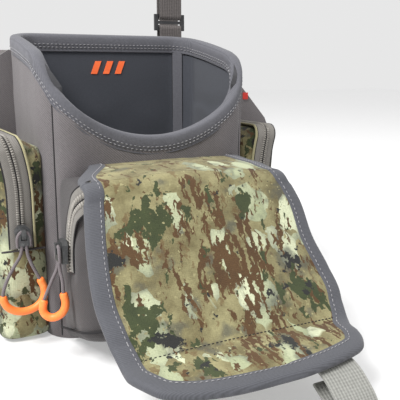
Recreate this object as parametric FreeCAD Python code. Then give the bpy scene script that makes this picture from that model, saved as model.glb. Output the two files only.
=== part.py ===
import FreeCAD, Part
import math
import os

# Binocular harness pack, open, standing on its base. Millimetres.
# X runs across the wearer, Y towards the wearer's chest, Z up.
# The origin is the centre of the underside of the main compartment's base.

Vector = FreeCAD.Vector
os.makedirs("parts", exist_ok=True)

# Main compartment
WIDTH = 152.0
DEPTH = 101.0
HEIGHT = 209.0
CORNER = 22.0
SHELL = 1.6
FOAM = 2.6
LINING = 0.8
WALL = SHELL + FOAM + LINING
BOARD = 2.4
HALF_WIDTH = WIDTH / 2
FRONT = -DEPTH / 2
BACK = DEPTH / 2

# Rim: the front wall dips in an arc, and the side walls rise to the back
DIP_RADIUS = 86.0
DIP_LOW = 136.0
SEAM = CORNER * (1 - math.cos(math.pi / 4))
RIM_CAP = 1.2
RIM_SKIN = 1.0
RIM_BAND = 13.0

# Pockets
SIDE_POCKET_REACH = 34.0
SIDE_POCKET_FRONT = -40.5
SIDE_POCKET_BACK = 41.5
SIDE_POCKET_TOP = 138.0
SIDE_POCKET_ARCH = 10.0
SIDE_POCKET_ROUND = 7.0
FRONT_POCKET_REACH = 61.0
FRONT_POCKET_TOP = 114.0
FRONT_POCKET_LOW = 2.0
FRONT_POCKET_STEP = 3.5
FRONT_POCKET_CORNER = 10.0
FRONT_POCKET_SLOPE = 19.0
POCKET_SKIN = 1.6

# Zips
TAPE = 0.8
TAPE_WIDTH = 15.0
COIL = 1.6
COIL_WIDTH = 4.5
SIDE_ZIP_X = 93.0
SIDE_ZIP_LOW = 66.0
SIDE_ZIP_HIGH = 126.0
SIDE_SLIDER_Z = 75.0
FRONT_TAPE_WIDTH = 13.0
FRONT_ZIP_CENTRE = (FRONT - 79.8, 66.0)
FRONT_ZIP_RADIUS = 49.5
FRONT_ZIP_SPAN = (-8.0, 50.0)
FRONT_SLIDER_ANGLE = 7.5

# Zip sliders: width, depth and length, then the bridge on the slider's face
SLIDER_SIZE = (10.0, 3.4, 15.0)
SLIDER_GAP = 0.3
SLIDER_NOSE = 3.0
SLIDER_TAIL = 1.5
BRIDGE_HALF = 1.5
BRIDGE_RISE = 3.2
BRIDGE_SPAN = (-1.0, 5.5)

# Pullers: the pin through the slider's bridge, counted from the slider's own middle
PIVOT = Vector(0, -SLIDER_SIZE[1] - 1.5, 1.5)
PIN_RADIUS = 1.0
PIN_PLAY = 0.4
PULLER_LENGTH = 7.0
PULLER_HALF = 3.6
PULLER_THICK = 2.2
PULLER_WINDOW = 3.2
CHEEK_GAP = 1.9

# Lid, in the YZ plane: each panel has a pivot, a length and a direction
LID_HALF_WIDTH = 74.0
LID_THICK = 5.0
LID_SKIN = 1.0
LID_EDGE = 3.0
BOARD_MARGIN = 4.0
BOARD_GAP = 3.0
LID_HINGE = (FRONT - 4.0, 117.5)
BRIDGE_LENGTH, BRIDGE_ANGLE = 62.0, 180.0
PANEL_LENGTH, PANEL_ANGLE = 99.0, 238.5
LIP_LENGTH, LIP_ANGLE = 38.0, 188.0
LIP_CORNER = 25.0
FOLD_GAP = 2.0

# Closure magnets, in the back wall and in the lip
MAGNET_RADIUS = 6.0
MAGNET_THICK = 1.8
MAGNET_X = 34.0
MAGNET_Z = 199.0
LIP_MAGNET_REACH = 22.0

# Back pad, tag and the plain mark inside the back wall: three slanted bars
PAD_HALF_X, PAD_HALF_Z, PAD_CORNER = 44.0, 78.0, 14.0
PAD_THICK, PAD_MIDDLE = 6.0, 96.0
TAG_X = (128.0, 133.0)
TAG_Z = (154.0, 160.0)
TAG_THICK = 1.0
MARK_LEFT, MARK_STEP, MARK_WIDTH, MARK_SLANT = -13.0, 10.0, 5.0, 4.0
MARK_Z = (177.0, 187.0)
MARK_THICK = 0.5

# Harness
WEB = 1.6
SHOULDER_WEB_WIDTH = 20.0
SHOULDER_X = 67.0
SIDE_WEB_WIDTH = 25.0
SIDE_WEB_LOW = 95.0
WING_ROOT = 64.0
WING_TIP = 156.0
WING_THICK = 3.0
WING_FRONT = 44.0
YOKE_FRONT = 163.0
YOKE_THICK = 8.0
YOKE_HALF_X, YOKE_HALF_Z, YOKE_CORNER = 88.0, 62.0, 18.0
GAP = 0.1

# Ladder locks, in the YZ plane above the back wall: their bars, and the tab and strap through them
LOCK_MIDDLE = BACK + 4.8
LOCK_LOW = 214.6
LOCK_HIGH = 225.8
LOCK_BAR = 2.4
LOCK_HALF = 14.0
LOCK_PLAY = 0.8
TAB_SEWN = [(BACK + GAP, 150.0), (BACK + GAP, 180.0)]
TAB_TOP = Vector(0, BACK + 1.0, 182.0)
TAB_FREE = [(BACK + 1.1, 203.0), (BACK + 1.1, 218.1), (BACK + 8.5, 218.1), (BACK + 8.5, 200.0)]
STRAP_TURN = [(BACK + 8.5, 240.0), (BACK + 8.5, 222.3), (BACK + 1.1, 222.3), (BACK + 1.1, 248.0)]
RIGHT_STAND_OFF = 13.0
LEFT_LEAN = 76.0

# Free runs of the shoulder straps: the right one arches over to the yoke and drifts outwards on
# the way, the left one has dropped behind the pack
RIGHT_ROUTE = [
    (SHOULDER_X, BACK + RIGHT_STAND_OFF + 1.1, 247.0),
    (67.2, 64.7, 257.0),
    (69.0, 68.0, 272.0),
    (75.0, 80.0, 296.0),
    (84.0, 98.0, 309.0),
    (93.0, 117.0, 310.0),
    (101.0, 134.0, 299.0),
    (105.5, 146.0, 277.0),
    (106.0, 152.5, 250.0),
    (107.5, 157.0, 214.0),
    (97.0, 160.0, 180.0),
    (82.0, 162.0, 150.0),
    (76.5, YOKE_FRONT - 0.3, 124.0),
    (76.0, YOKE_FRONT - 0.2, 106.0),
    (76.0, YOKE_FRONT - 0.2, 88.0),
]
LEFT_ROUTE = [
    (126.0, 186.0),
    (134.0, 150.0),
    (136.0, 105.0),
    (134.0, 60.0),
    (138.0, 26.0),
    (148.0, 14.0),
    (157.0, 26.0),
    (YOKE_FRONT - WEB - 0.2, 60.0),
    (YOKE_FRONT - WEB - 0.2, 100.0),
]

# Side-release buckles: the socket's and plug's ends along Y, and half sizes of their parts
BUCKLE_X = 160.0
SOCKET = (76.0, 104.0)
PLUG_END = 122.0
SOCKET_HALF_X, SOCKET_HALF_Z = 4.5, 16.0
CAVITY_HALF_X, CAVITY_HALF_Z = 2.6, 12.5
PLUG_HALF_X, PLUG_HALF_Z = 4.0, 15.0
PRONG_HALF = 2.0
PRONG_OFFSETS = (-9.5, 0.0, 9.5)

# Pull loop under the lip: its middle, where it is sewn, and its free end in the YZ plane,
# counted from the lip's edge
LOOP_X = 35.0
LOOP_SEWN = 14.0
LOOP_FREE = [(-13.0, 13.0), (-17.0, 7.0), (-12.0, 4.5), (-4.0, 10.0), (6.0, 16.0)]

# Pull cords and their sleeves
CORD = 2.2
SLEEVE = 5.0
SLEEVE_BORE = 2.6

# Each route is counted from the middle of the puller's lower end: it leaves the puller, goes
# round through the sleeve and comes back
LEFT_CORD = [
    (1.5, 0.0, 0.0),
    (1.5, 0.0, -5.0),
    (4.0, -1.4, -13.0),
    (8.0, -2.2, -21.7),
    (11.6, -2.8, -30.0),
    (9.6, -3.4, -37.6),
    (3.0, -3.7, -42.4),
    (-6.0, -3.6, -43.0),
    (-13.6, -3.2, -38.8),
    (-16.4, -2.8, -31.0),
    (-13.0, -2.2, -21.6),
    (-7.4, -1.2, -12.6),
    (-1.5, 0.0, -5.0),
    (-1.5, 0.0, 0.0),
]
FRONT_CORD = [
    (0.0, -1.5, 0.0),
    (0.0, -1.5, -5.0),
    (1.0, -4.4, -12.6),
    (0.8, -4.5, -19.8),
    (2.3, -5.1, -26.5),
    (0.2, -3.9, -33.1),
    (-6.2, -0.3, -36.7),
    (-11.0, 2.3, -31.9),
    (-9.6, 1.9, -24.7),
    (-6.2, 1.8, -17.3),
    (-3.0, 1.9, -10.6),
    (0.0, 1.5, -5.0),
    (0.0, 1.5, 0.0),
]
RIGHT_CORD = [
    (-1.5, 0.0, 0.0),
    (-1.5, 0.0, -5.0),
    (-4.6, -1.4, -13.0),
    (-8.4, -2.2, -21.4),
    (-9.8, -2.8, -30.2),
    (-6.0, -3.4, -37.8),
    (1.6, -3.7, -41.0),
    (8.4, -3.4, -37.0),
    (11.0, -2.8, -28.6),
    (8.4, -2.0, -19.8),
    (4.2, -1.2, -12.0),
    (1.5, 0.0, -5.0),
    (1.5, 0.0, 0.0),
]


# ---------------------------------------------------------------- shapes

def save(name, shape):
    """Writes one sub-part to its own STEP file."""
    shape.exportStep("parts/%s.step" % name)


def block(x, y, z):
    """A box from three (low, high) pairs."""
    return Part.makeBox(x[1] - x[0], y[1] - y[0], z[1] - z[0], Vector(x[0], y[0], z[0]))


def rounded_outline(half_x, half_y, radius, z):
    """A closed rectangle with rounded corners, centred on the Z axis."""
    edges = []
    corners = [(1, -1, -90), (1, 1, 0), (-1, 1, 90), (-1, -1, 180)]
    for sign_x, sign_y, start in corners:
        centre = Vector(sign_x * (half_x - radius), sign_y * (half_y - radius), z)
        edges.append(Part.makeCircle(radius, centre, Vector(0, 0, 1), start, start + 90))
    loop = []
    for edge, following in zip(edges, edges[1:] + edges[:1]):
        loop.append(edge)
        loop.append(Part.makeLine(edge.Vertexes[-1].Point, following.Vertexes[0].Point))
    return Part.Wire(Part.__sortEdges__(loop))


def body_block(inset, low, high):
    """The main compartment's plan outline, moved inwards by inset and raised from low to high."""
    outline = rounded_outline(HALF_WIDTH - inset, DEPTH / 2 - inset, CORNER - inset, low)
    return Part.Face(outline).extrude(Vector(0, 0, high - low))


def ring(outer_inset, inner_inset, low, high):
    """A wall all round the compartment between two insets."""
    return body_block(outer_inset, low, high).cut(body_block(inner_inset, low, high))


def above_rim(drop):
    """Everything above the rim line, lowered by drop."""
    dip = Part.makeCylinder(
        DIP_RADIUS, CORNER, Vector(0, FRONT - CORNER + SEAM, DIP_LOW + DIP_RADIUS), Vector(0, 1, 0)
    )
    start = FRONT + SEAM
    corner_low = Vector(0, start, DIP_LOW + 35.0)
    corner_mid = Vector(0, start + 7.5, DIP_LOW + 48.5)
    corner_top = Vector(0, start + 22.0, DIP_LOW + 57.5)
    side_mid = Vector(0, 15.0, HEIGHT - 7.5)
    side_end = Vector(0, BACK + CORNER, HEIGHT)
    sky = HEIGHT + CORNER
    line = [
        Part.Arc(corner_low, corner_mid, corner_top).toShape(),
        Part.Arc(corner_top, side_mid, side_end).toShape(),
        Part.makeLine(side_end, Vector(0, side_end.y, sky)),
        Part.makeLine(Vector(0, side_end.y, sky), Vector(0, start, sky)),
        Part.makeLine(Vector(0, start, sky), corner_low),
    ]
    sides = Part.Face(Part.Wire(line)).extrude(Vector(2 * WIDTH, 0, 0))
    sides.translate(Vector(-WIDTH, 0, 0))
    region = dip.fuse(sides)
    region.translate(Vector(0, 0, -drop))
    return region


def tangent_route(points):
    """Straight runs joined by arcs tangent to them: (edges, arc radii)."""
    edges, radii = [], []
    last = points[0]
    for before, corner, after in zip(points, points[1:], points[2:]):
        arriving = corner - before
        leaving = after - corner
        half_turn = arriving.getAngle(leaving) / 2
        radius = 0.45 * min(arriving.Length, leaving.Length) / math.tan(half_turn)
        trim = radius * math.tan(half_turn)
        first = corner - arriving.normalize() * trim
        second = corner + leaving.normalize() * trim
        inward = (leaving - arriving).normalize()
        middle = corner + inward * (radius / math.cos(half_turn) - radius)
        edges.append(Part.LineSegment(last, first).toShape())
        edges.append(Part.Arc(first, middle, second).toShape())
        radii.append(radius)
        last = second
    edges.append(Part.LineSegment(last, points[-1]).toShape())
    return edges, radii


def tube(edges, diameter):
    """A round bar along edges."""
    path = Part.Wire(edges)
    start = edges[0].Vertexes[0].Point
    leaving = edges[0].tangentAt(edges[0].FirstParameter)
    profile = Part.Wire([Part.makeCircle(diameter / 2, start, leaving)])
    return path.makePipeShell([profile], True, True)


def webbing(points, thickness, across):
    """A flat strap: its centre line is points, and across is its width as a vector."""
    edges, _ = tangent_route(points)
    path = Part.Wire(edges)
    side = path.makeOffset2D(thickness, 0, True, True)
    strap = side.extrude(across)
    strap.translate(across * -0.5)
    return strap


def drifting_web(points, thickness, width):
    """A flat strap that moves sideways along its run, its width always along X.

    Points are the centre line of one face."""
    line = Part.BSplineCurve()
    line.interpolate(points)
    steps = 3 * len(points)
    first, last = line.FirstParameter, line.LastParameter
    half = Vector(width / 2, 0, 0)
    sections = []
    for index in range(steps + 1):
        parameter = first + (last - first) * index / steps
        spot = line.value(parameter)
        ahead = line.tangent(parameter)[0]
        out = Vector(0, ahead.z, -ahead.y).normalize() * thickness
        corners = [spot - half, spot + half, spot + half + out, spot - half + out]
        sections.append(Part.makePolygon(corners + corners[:1]))
    return Part.makeLoft(sections, True, True)


def plate(outline, thickness_vector):
    """A flat plate from a list of corner points."""
    face = Part.Face(Part.makePolygon(outline + outline[:1]))
    return face.extrude(thickness_vector)


def heading(angle):
    """The direction at this angle from +Y towards +Z."""
    return Vector(0, math.cos(math.radians(angle)), math.sin(math.radians(angle)))


def mirrored(shape):
    """The same shape on the other side of the pack."""
    return shape.mirror(Vector(0, 0, 0), Vector(1, 0, 0))


# ---------------------------------------------------------------- main compartment

def split_wall(wall):
    """Cuts a wall that runs all round into its front, back, left and right stretches."""
    reach = WIDTH
    front_slab = block((-reach, reach), (-reach, FRONT + SEAM), (0, HEIGHT))
    back_slab = block((-reach, reach), (BACK - SEAM, reach), (0, HEIGHT))
    left_slab = block((-reach, 0), (FRONT + SEAM, BACK - SEAM), (0, HEIGHT))
    right_slab = block((0, reach), (FRONT + SEAM, BACK - SEAM), (0, HEIGHT))
    return [wall.common(slab) for slab in (front_slab, back_slab, left_slab, right_slab)]


def make_compartment():
    """Fabric panels, foam, base board, lining and the bound rim."""
    cut_off = above_rim(RIM_CAP)
    outer = ring(0, SHELL, SHELL, HEIGHT).cut(cut_off)
    names = ("front_panel", "back_panel", "left_side_panel", "right_side_panel")
    for name, panel in zip(names, split_wall(outer)):
        save(name, panel)
    save("base_panel", body_block(0, 0, SHELL))

    foam = ring(SHELL, SHELL + FOAM, SHELL, HEIGHT).cut(cut_off)
    sheets = split_wall(foam)
    magnet_holes = Part.makeCompound(magnet_row(SHELL + FOAM / 2))
    sheets[1] = sheets[1].cut(magnet_holes)
    save("wall_foam", Part.makeCompound(sheets))
    save("back_magnets", magnet_holes)
    save("base_board", body_block(SHELL + FOAM, SHELL, SHELL + BOARD))

    lining_floor = SHELL + BOARD
    lining = body_block(SHELL + FOAM, lining_floor, HEIGHT)
    lining = lining.cut(body_block(WALL, lining_floor + LINING, HEIGHT)).cut(cut_off)
    save("lining", lining)

    wrap = ring(-RIM_SKIN, WALL + RIM_SKIN, DIP_LOW - 2 * RIM_BAND, HEIGHT)
    wrap = wrap.common(above_rim(RIM_BAND)).cut(above_rim(0))
    wrap = wrap.cut(ring(0, WALL, 0, HEIGHT).cut(cut_off))
    save("rim_band", wrap)


def magnet_row(depth):
    """The closure magnets in the back wall, at this depth from its outer face."""
    middle = BACK - depth
    return [
        Part.makeCylinder(
            MAGNET_RADIUS, MAGNET_THICK, Vector(x, middle - MAGNET_THICK / 2, MAGNET_Z), Vector(0, 1, 0)
        )
        for x in (-MAGNET_X, MAGNET_X)
    ]


def standing_pad(outline, thickness, front, middle):
    """A pad from a flat outline, stood upright with its front face at y = front."""
    pad = Part.Face(outline).extrude(Vector(0, 0, thickness))
    pad.rotate(Vector(0, 0, 0), Vector(1, 0, 0), 90)
    pad.translate(Vector(0, front + thickness, middle))
    return pad


def make_back():
    """The padded mesh against the chest, the side wings, the tag and the plain mark inside."""
    outline = rounded_outline(PAD_HALF_X, PAD_HALF_Z, PAD_CORNER, 0)
    save("back_pad", standing_pad(outline, PAD_THICK, BACK, PAD_MIDDLE))

    wing = plate(
        [
            Vector(WING_ROOT, WING_FRONT, 189.0),
            Vector(HALF_WIDTH, WING_FRONT, 195.0),
            Vector(128.0, WING_FRONT, 164.0),
            Vector(WING_TIP - 4.0, WING_FRONT, 137.0),
            Vector(WING_TIP, WING_FRONT, 128.0),
            Vector(WING_TIP, WING_FRONT, 88.0),
            Vector(WING_TIP - 8.0, WING_FRONT, 78.0),
            Vector(WING_ROOT, WING_FRONT, 45.0),
        ],
        Vector(0, WING_THICK, 0),
    )
    wing = wing.cut(body_block(0, 0, HEIGHT))
    save("right_wing", wing)
    save("left_wing", mirrored(wing))

    save("edge_tag", block(TAG_X, (WING_FRONT - TAG_THICK, WING_FRONT), TAG_Z))

    mark_back = BACK - WALL
    low, high = MARK_Z
    bars = []
    for index in range(3):
        left = MARK_LEFT + MARK_STEP * index
        outline = [
            Vector(left, mark_back, low),
            Vector(left + MARK_WIDTH, mark_back, low),
            Vector(left + MARK_WIDTH + MARK_SLANT, mark_back, high),
            Vector(left + MARK_SLANT, mark_back, high),
        ]
        bars.append(plate(outline, Vector(0, -MARK_THICK, 0)))
    save("inner_mark", Part.makeCompound(bars))


# ---------------------------------------------------------------- pockets

def arch_outline(inset, x):
    """The side pocket's outline in a plane of constant x, with a rounded top."""
    low = inset
    radius = SIDE_POCKET_ARCH - inset
    front = SIDE_POCKET_FRONT + inset
    back = SIDE_POCKET_BACK - inset
    top = SIDE_POCKET_TOP - inset
    turn = math.sqrt(0.5)
    a = Vector(x, front, low)
    b = Vector(x, front, top - radius)
    b_mid = Vector(x, front + radius * (1 - turn), top - radius * (1 - turn))
    c = Vector(x, front + radius, top)
    d = Vector(x, back - radius, top)
    d_mid = Vector(x, back - radius * (1 - turn), top - radius * (1 - turn))
    e = Vector(x, back, top - radius)
    f = Vector(x, back, low)
    return Part.Wire(
        [
            Part.makeLine(a, b),
            Part.Arc(b, b_mid, c).toShape(),
            Part.makeLine(c, d),
            Part.Arc(d, d_mid, e).toShape(),
            Part.makeLine(e, f),
            Part.makeLine(f, a),
        ]
    )


def make_side_pockets():
    """A hollow arched pocket on each side wall."""
    outer = Part.Face(arch_outline(0, HALF_WIDTH)).extrude(Vector(SIDE_POCKET_REACH, 0, 0))
    outer_edges = [
        edge
        for edge in outer.Edges
        if abs(edge.BoundBox.XMin - HALF_WIDTH - SIDE_POCKET_REACH) < 0.01
        and edge.BoundBox.ZMax > 1.0
        and edge.BoundBox.XLength < 0.01
    ]
    outer = outer.makeFillet(SIDE_POCKET_ROUND, outer_edges)
    depth = SIDE_POCKET_REACH - POCKET_SKIN
    hollow = Part.Face(arch_outline(POCKET_SKIN, HALF_WIDTH)).extrude(Vector(depth, 0, 0))
    pocket = outer.cut(hollow)
    save("right_pocket", pocket)
    save("left_pocket", mirrored(pocket))


def front_pocket_block(inset):
    """The front pocket's outer shape moved inwards by inset, its underside rising to the front."""
    face = FRONT - FRONT_POCKET_REACH + inset
    half = HALF_WIDTH - FRONT_POCKET_STEP - inset
    top = FRONT_POCKET_TOP - inset
    lean = math.hypot(FRONT_POCKET_REACH, FRONT_POCKET_SLOPE) / FRONT_POCKET_REACH
    low = FRONT_POCKET_LOW + lean * inset
    side = [
        Vector(-half, FRONT, low),
        Vector(-half, FRONT, top),
        Vector(-half, face, top),
        Vector(-half, face, low + FRONT_POCKET_SLOPE),
    ]
    shape = plate(side, Vector(2 * half, 0, 0))
    upright = [e for e in shape.Edges if e.BoundBox.YMax < face + 1 and e.BoundBox.XLength < 0.01]
    shape = shape.makeFillet(FRONT_POCKET_CORNER, upright)
    sloping = [
        edge
        for edge in shape.Edges
        if edge.BoundBox.ZMax < low + FRONT_POCKET_SLOPE + 1 and edge.BoundBox.YMin < FRONT - 1
    ]
    return shape.makeFillet(FRONT_POCKET_CORNER - 1.0, sloping)


def make_front_pocket():
    """The hollow pocket on the front wall, under the lid."""
    save("front_pocket", front_pocket_block(0).cut(front_pocket_block(POCKET_SKIN)))


# ---------------------------------------------------------------- zips

def side_zip_strip(width, outset, thickness):
    """A strip that runs up the front of the right pocket, along SIDE_ZIP_X."""
    near = SIDE_POCKET_FRONT - outset
    return block(
        (SIDE_ZIP_X - width / 2, SIDE_ZIP_X + width / 2),
        (near - thickness, near),
        (SIDE_ZIP_LOW, SIDE_ZIP_HIGH),
    )


def front_zip_strip(width, outset, thickness):
    """A strip that arches over the left gusset of the front pocket."""
    plane = -HALF_WIDTH + FRONT_POCKET_STEP - outset
    centre = Vector(plane, *FRONT_ZIP_CENTRE)
    start, end = FRONT_ZIP_SPAN
    outside = Part.makeCylinder(FRONT_ZIP_RADIUS + width / 2, thickness, centre, Vector(-1, 0, 0))
    inside = Part.makeCylinder(FRONT_ZIP_RADIUS - width / 2, thickness, centre, Vector(-1, 0, 0))
    reach = 3 * FRONT_ZIP_RADIUS
    rays = [centre + heading(angle) * reach for angle in (start, (start + end) / 2, end)]
    wedge = plate([centre] + rays, Vector(-thickness, 0, 0))
    return outside.cut(inside).common(wedge)


def make_slider():
    """A zip slider at the origin: its back on the XZ plane, its nose up, its bridge to -Y."""
    wide, deep, long = SLIDER_SIZE
    outline = [
        Vector(-wide / 2 + SLIDER_NOSE, 0, long / 2),
        Vector(-wide / 2, 0, long / 2 - SLIDER_NOSE),
        Vector(-wide / 2 + SLIDER_TAIL, 0, -long / 2),
        Vector(wide / 2 - SLIDER_TAIL, 0, -long / 2),
        Vector(wide / 2, 0, long / 2 - SLIDER_NOSE),
        Vector(wide / 2 - SLIDER_NOSE, 0, long / 2),
    ]
    body = plate(outline, Vector(0, -deep, 0))
    across = Vector(BRIDGE_HALF, 0, 0)
    bridge = block((-BRIDGE_HALF, BRIDGE_HALF), (-deep - BRIDGE_RISE, -deep), BRIDGE_SPAN)
    window = Part.makeCylinder(PIN_RADIUS + PIN_PLAY, 2 * BRIDGE_HALF, PIVOT - across, across)
    return body.fuse(bridge).cut(window).removeSplitter()


def make_puller():
    """The small link that hangs from the slider's bridge and holds the cord, its pin at the origin."""
    along = Vector(1, 0, 0)
    fork = block((-PULLER_HALF, PULLER_HALF), (-PULLER_THICK / 2, PULLER_THICK / 2), (-PULLER_LENGTH, 0))
    head = Part.makeCylinder(PULLER_THICK / 2, 2 * PULLER_HALF, Vector(-PULLER_HALF, 0, 0), along)
    slot = block((-CHEEK_GAP, CHEEK_GAP), (-PULLER_LENGTH, PULLER_LENGTH), (-PULLER_WINDOW, PULLER_THICK))
    pin = Part.makeCylinder(PIN_RADIUS, 2 * CHEEK_GAP + 2.0, Vector(-CHEEK_GAP - 1.0, 0, 0), along)
    return fork.fuse(head).cut(slot).fuse(pin).removeSplitter()


def report_cord(name, edges, radii, solid, diameter):
    """Prints what the cord measures."""
    length = sum(edge.Length for edge in edges)
    section = math.pi * diameter ** 2 / 4
    print(name, "length %.1f" % length, "volume ratio %.4f" % (solid.Volume / (section * length)))
    print(name, "radii", " ".join("%.1f" % radius for radius in radii))


def make_pull_cord(side, foot, route, sleeve_from, sleeve_to):
    """The cord loop under a puller and the moulded sleeve on its lower bend."""
    points = [foot + Vector(*point) for point in route]
    edges, radii = tangent_route(points)
    cord = tube(edges, CORD)
    covered = edges[sleeve_from:sleeve_to]
    sleeve = tube(covered, SLEEVE).cut(tube(covered, SLEEVE_BORE))
    report_cord(side, edges, radii, cord, CORD)
    save("%s_pull_cord" % side, cord)
    save("%s_pull_sleeve" % side, sleeve)


def make_zips():
    """Tapes, coils, sliders, pullers and pull cords."""
    tape = side_zip_strip(TAPE_WIDTH, 0, TAPE)
    coil = side_zip_strip(COIL_WIDTH, TAPE, COIL)
    save("right_zip_tape", tape)
    save("left_zip_tape", mirrored(tape))
    save("right_zip_coil", coil)
    save("left_zip_coil", mirrored(coil))
    save("front_zip_tape", front_zip_strip(FRONT_TAPE_WIDTH, 0, TAPE))
    save("front_zip_coil", front_zip_strip(COIL_WIDTH, TAPE, COIL))

    stack = TAPE + COIL + SLIDER_GAP
    side_y = SIDE_POCKET_FRONT - stack
    front_x = -HALF_WIDTH + FRONT_POCKET_STEP - stack
    front_spot = Vector(front_x, *FRONT_ZIP_CENTRE) + heading(FRONT_SLIDER_ANGLE) * FRONT_ZIP_RADIUS
    zips = {
        "left": (Vector(-SIDE_ZIP_X, side_y, SIDE_SLIDER_Z), 0, LEFT_CORD, 5, 17),
        "right": (Vector(SIDE_ZIP_X, side_y, SIDE_SLIDER_Z), 0, RIGHT_CORD, 7, 17),
        "front": (front_spot, -90, FRONT_CORD, 5, 15),
    }
    for side, (spot, turn, route, sleeve_from, sleeve_to) in zips.items():
        place = FreeCAD.Placement(spot, FreeCAD.Rotation(Vector(0, 0, 1), turn))
        slider = make_slider()
        slider.Placement = place
        save("%s_slider" % side, slider)
        pivot = place.multVec(PIVOT)
        puller = make_puller()
        puller.Placement = FreeCAD.Placement(pivot, place.Rotation)
        save("%s_puller" % side, puller)
        print(side, "pivot %.3f %.3f %.3f" % tuple(pivot))
        foot = pivot - Vector(0, 0, PULLER_LENGTH)
        make_pull_cord(side, foot, route, sleeve_from, sleeve_to)


# ---------------------------------------------------------------- lid

HINGE = Vector(0, *LID_HINGE)
FOLD = HINGE + heading(BRIDGE_ANGLE) * BRIDGE_LENGTH
CREASE = FOLD + heading(PANEL_ANGLE) * PANEL_LENGTH


def lid_slab(pivot, angle, span, half_width, low, high, corner=0.0):
    """A slab of the lid from span[0] to span[1] beyond its pivot, low to high above its middle."""
    start, end = span
    slab = block((-half_width, half_width), (start, end), (low, high))
    if corner:
        tips = [e for e in slab.Edges if abs(e.BoundBox.YMin - end) < 0.01 and e.BoundBox.XLength < 0.01]
        slab = slab.makeFillet(corner, tips)
    slab.rotate(Vector(0, 0, 0), Vector(1, 0, 0), angle)
    slab.translate(pivot)
    return slab


def make_lid():
    """Three padded panels that fold on each other, their core, binding, magnets and pull loop."""
    half = LID_THICK / 2
    core = half - LID_SKIN
    bound = LID_HALF_WIDTH - LID_EDGE

    bridge_span = (FOLD_GAP, BRIDGE_LENGTH - FOLD_GAP)
    save("lid_bridge", lid_slab(HINGE, BRIDGE_ANGLE, bridge_span, LID_HALF_WIDTH, -half, half))

    panel_span = (FOLD_GAP, PANEL_LENGTH - FOLD_GAP)
    cover = lid_slab(FOLD, PANEL_ANGLE, panel_span, bound, -half, half)
    board_span = (FOLD_GAP + BOARD_GAP, PANEL_LENGTH - FOLD_GAP - BOARD_GAP)
    board = lid_slab(FOLD, PANEL_ANGLE, board_span, bound - BOARD_MARGIN, -core, core)
    save("lid_cover", cover.cut(board))
    save("lid_stiffener", board)
    frame = lid_slab(FOLD, PANEL_ANGLE, panel_span, LID_HALF_WIDTH, -half, half).cut(cover)
    save("lid_binding", frame)

    lip_span = (FOLD_GAP, LIP_LENGTH)
    whole = lid_slab(CREASE, LIP_ANGLE, lip_span, LID_HALF_WIDTH, -half, half, LIP_CORNER)
    inner_span = (FOLD_GAP, LIP_LENGTH - LID_EDGE)
    lip = lid_slab(CREASE, LIP_ANGLE, inner_span, bound, -half, half, LIP_CORNER - LID_EDGE)
    magnets = []
    for x in (-MAGNET_X, MAGNET_X):
        disc = Part.makeCylinder(MAGNET_RADIUS, MAGNET_THICK, Vector(x, LIP_MAGNET_REACH, -MAGNET_THICK / 2))
        disc.rotate(Vector(0, 0, 0), Vector(1, 0, 0), LIP_ANGLE)
        disc.translate(CREASE)
        magnets.append(disc)
    magnets = Part.makeCompound(magnets)
    save("lip_magnets", magnets)
    save("lip_cover", lip.cut(magnets))
    save("lip_binding", whole.cut(lip))
    make_pull_loop()


def make_pull_loop():
    """The webbing loop under the front edge of the lip."""
    start = CREASE + Vector(LOOP_X, 0, 0)
    start -= heading(LIP_ANGLE - 90) * (LID_THICK / 2 + WEB + GAP)
    root = start + heading(LIP_ANGLE) * (LIP_LENGTH - LOOP_SEWN)
    edge = start + heading(LIP_ANGLE) * (LIP_LENGTH + FOLD_GAP)
    points = [root, edge] + [Vector(LOOP_X, edge.y + y, z) for y, z in LOOP_FREE]
    save("pull_loop", webbing(points, WEB, Vector(SIDE_WEB_WIDTH, 0, 0)))


# ---------------------------------------------------------------- harness

def tipped(points, lean, stand_off):
    """Points above the sewn tab, turned about its top by lean degrees and moved back by stand_off."""
    turn = FreeCAD.Rotation(Vector(1, 0, 0), -lean)
    back = Vector(0, stand_off, 0)
    return [TAB_TOP + back + turn.multVec(Vector(0, y, z) - TAB_TOP) for y, z in points]


def make_lock():
    """A ladder lock: a flat frame with a bar for the tab, a bar for the strap and one between."""
    low = (LOCK_MIDDLE - LOCK_BAR / 2, LOCK_MIDDLE + LOCK_BAR / 2)
    through = (low[0] - 1, low[1] + 1)
    frame = block((-LOCK_HALF, LOCK_HALF), low, (LOCK_LOW - LOCK_BAR / 2, LOCK_HIGH + LOCK_BAR / 2))
    slot = SHOULDER_WEB_WIDTH / 2 + LOCK_PLAY
    gap = (LOCK_HIGH - LOCK_LOW) / 2 - LOCK_BAR
    for index in range(2):
        start = LOCK_LOW + LOCK_BAR / 2 + index * (gap + LOCK_BAR)
        frame = frame.cut(block((-slot, slot), through, (start, start + gap)))
    return frame


def at_x(points, x):
    """The same points at this x."""
    return [Vector(x, point.y, point.z) for point in points]


def make_anchor(side, x, lean, stand_off):
    """A shoulder strap's sewn tab and its ladder lock."""
    across = Vector(SHOULDER_WEB_WIDTH, 0, 0)
    sewn = [Vector(0, y, z) for y, z in TAB_SEWN]
    tab = webbing(at_x(sewn + tipped(TAB_FREE, lean, stand_off), x), WEB, across)
    save("%s_tab" % side, tab)
    lock = make_lock()
    lock.rotate(TAB_TOP, Vector(1, 0, 0), -lean)
    lock.translate(Vector(x, stand_off, 0))
    save("%s_ladder_lock" % side, lock)


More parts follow.
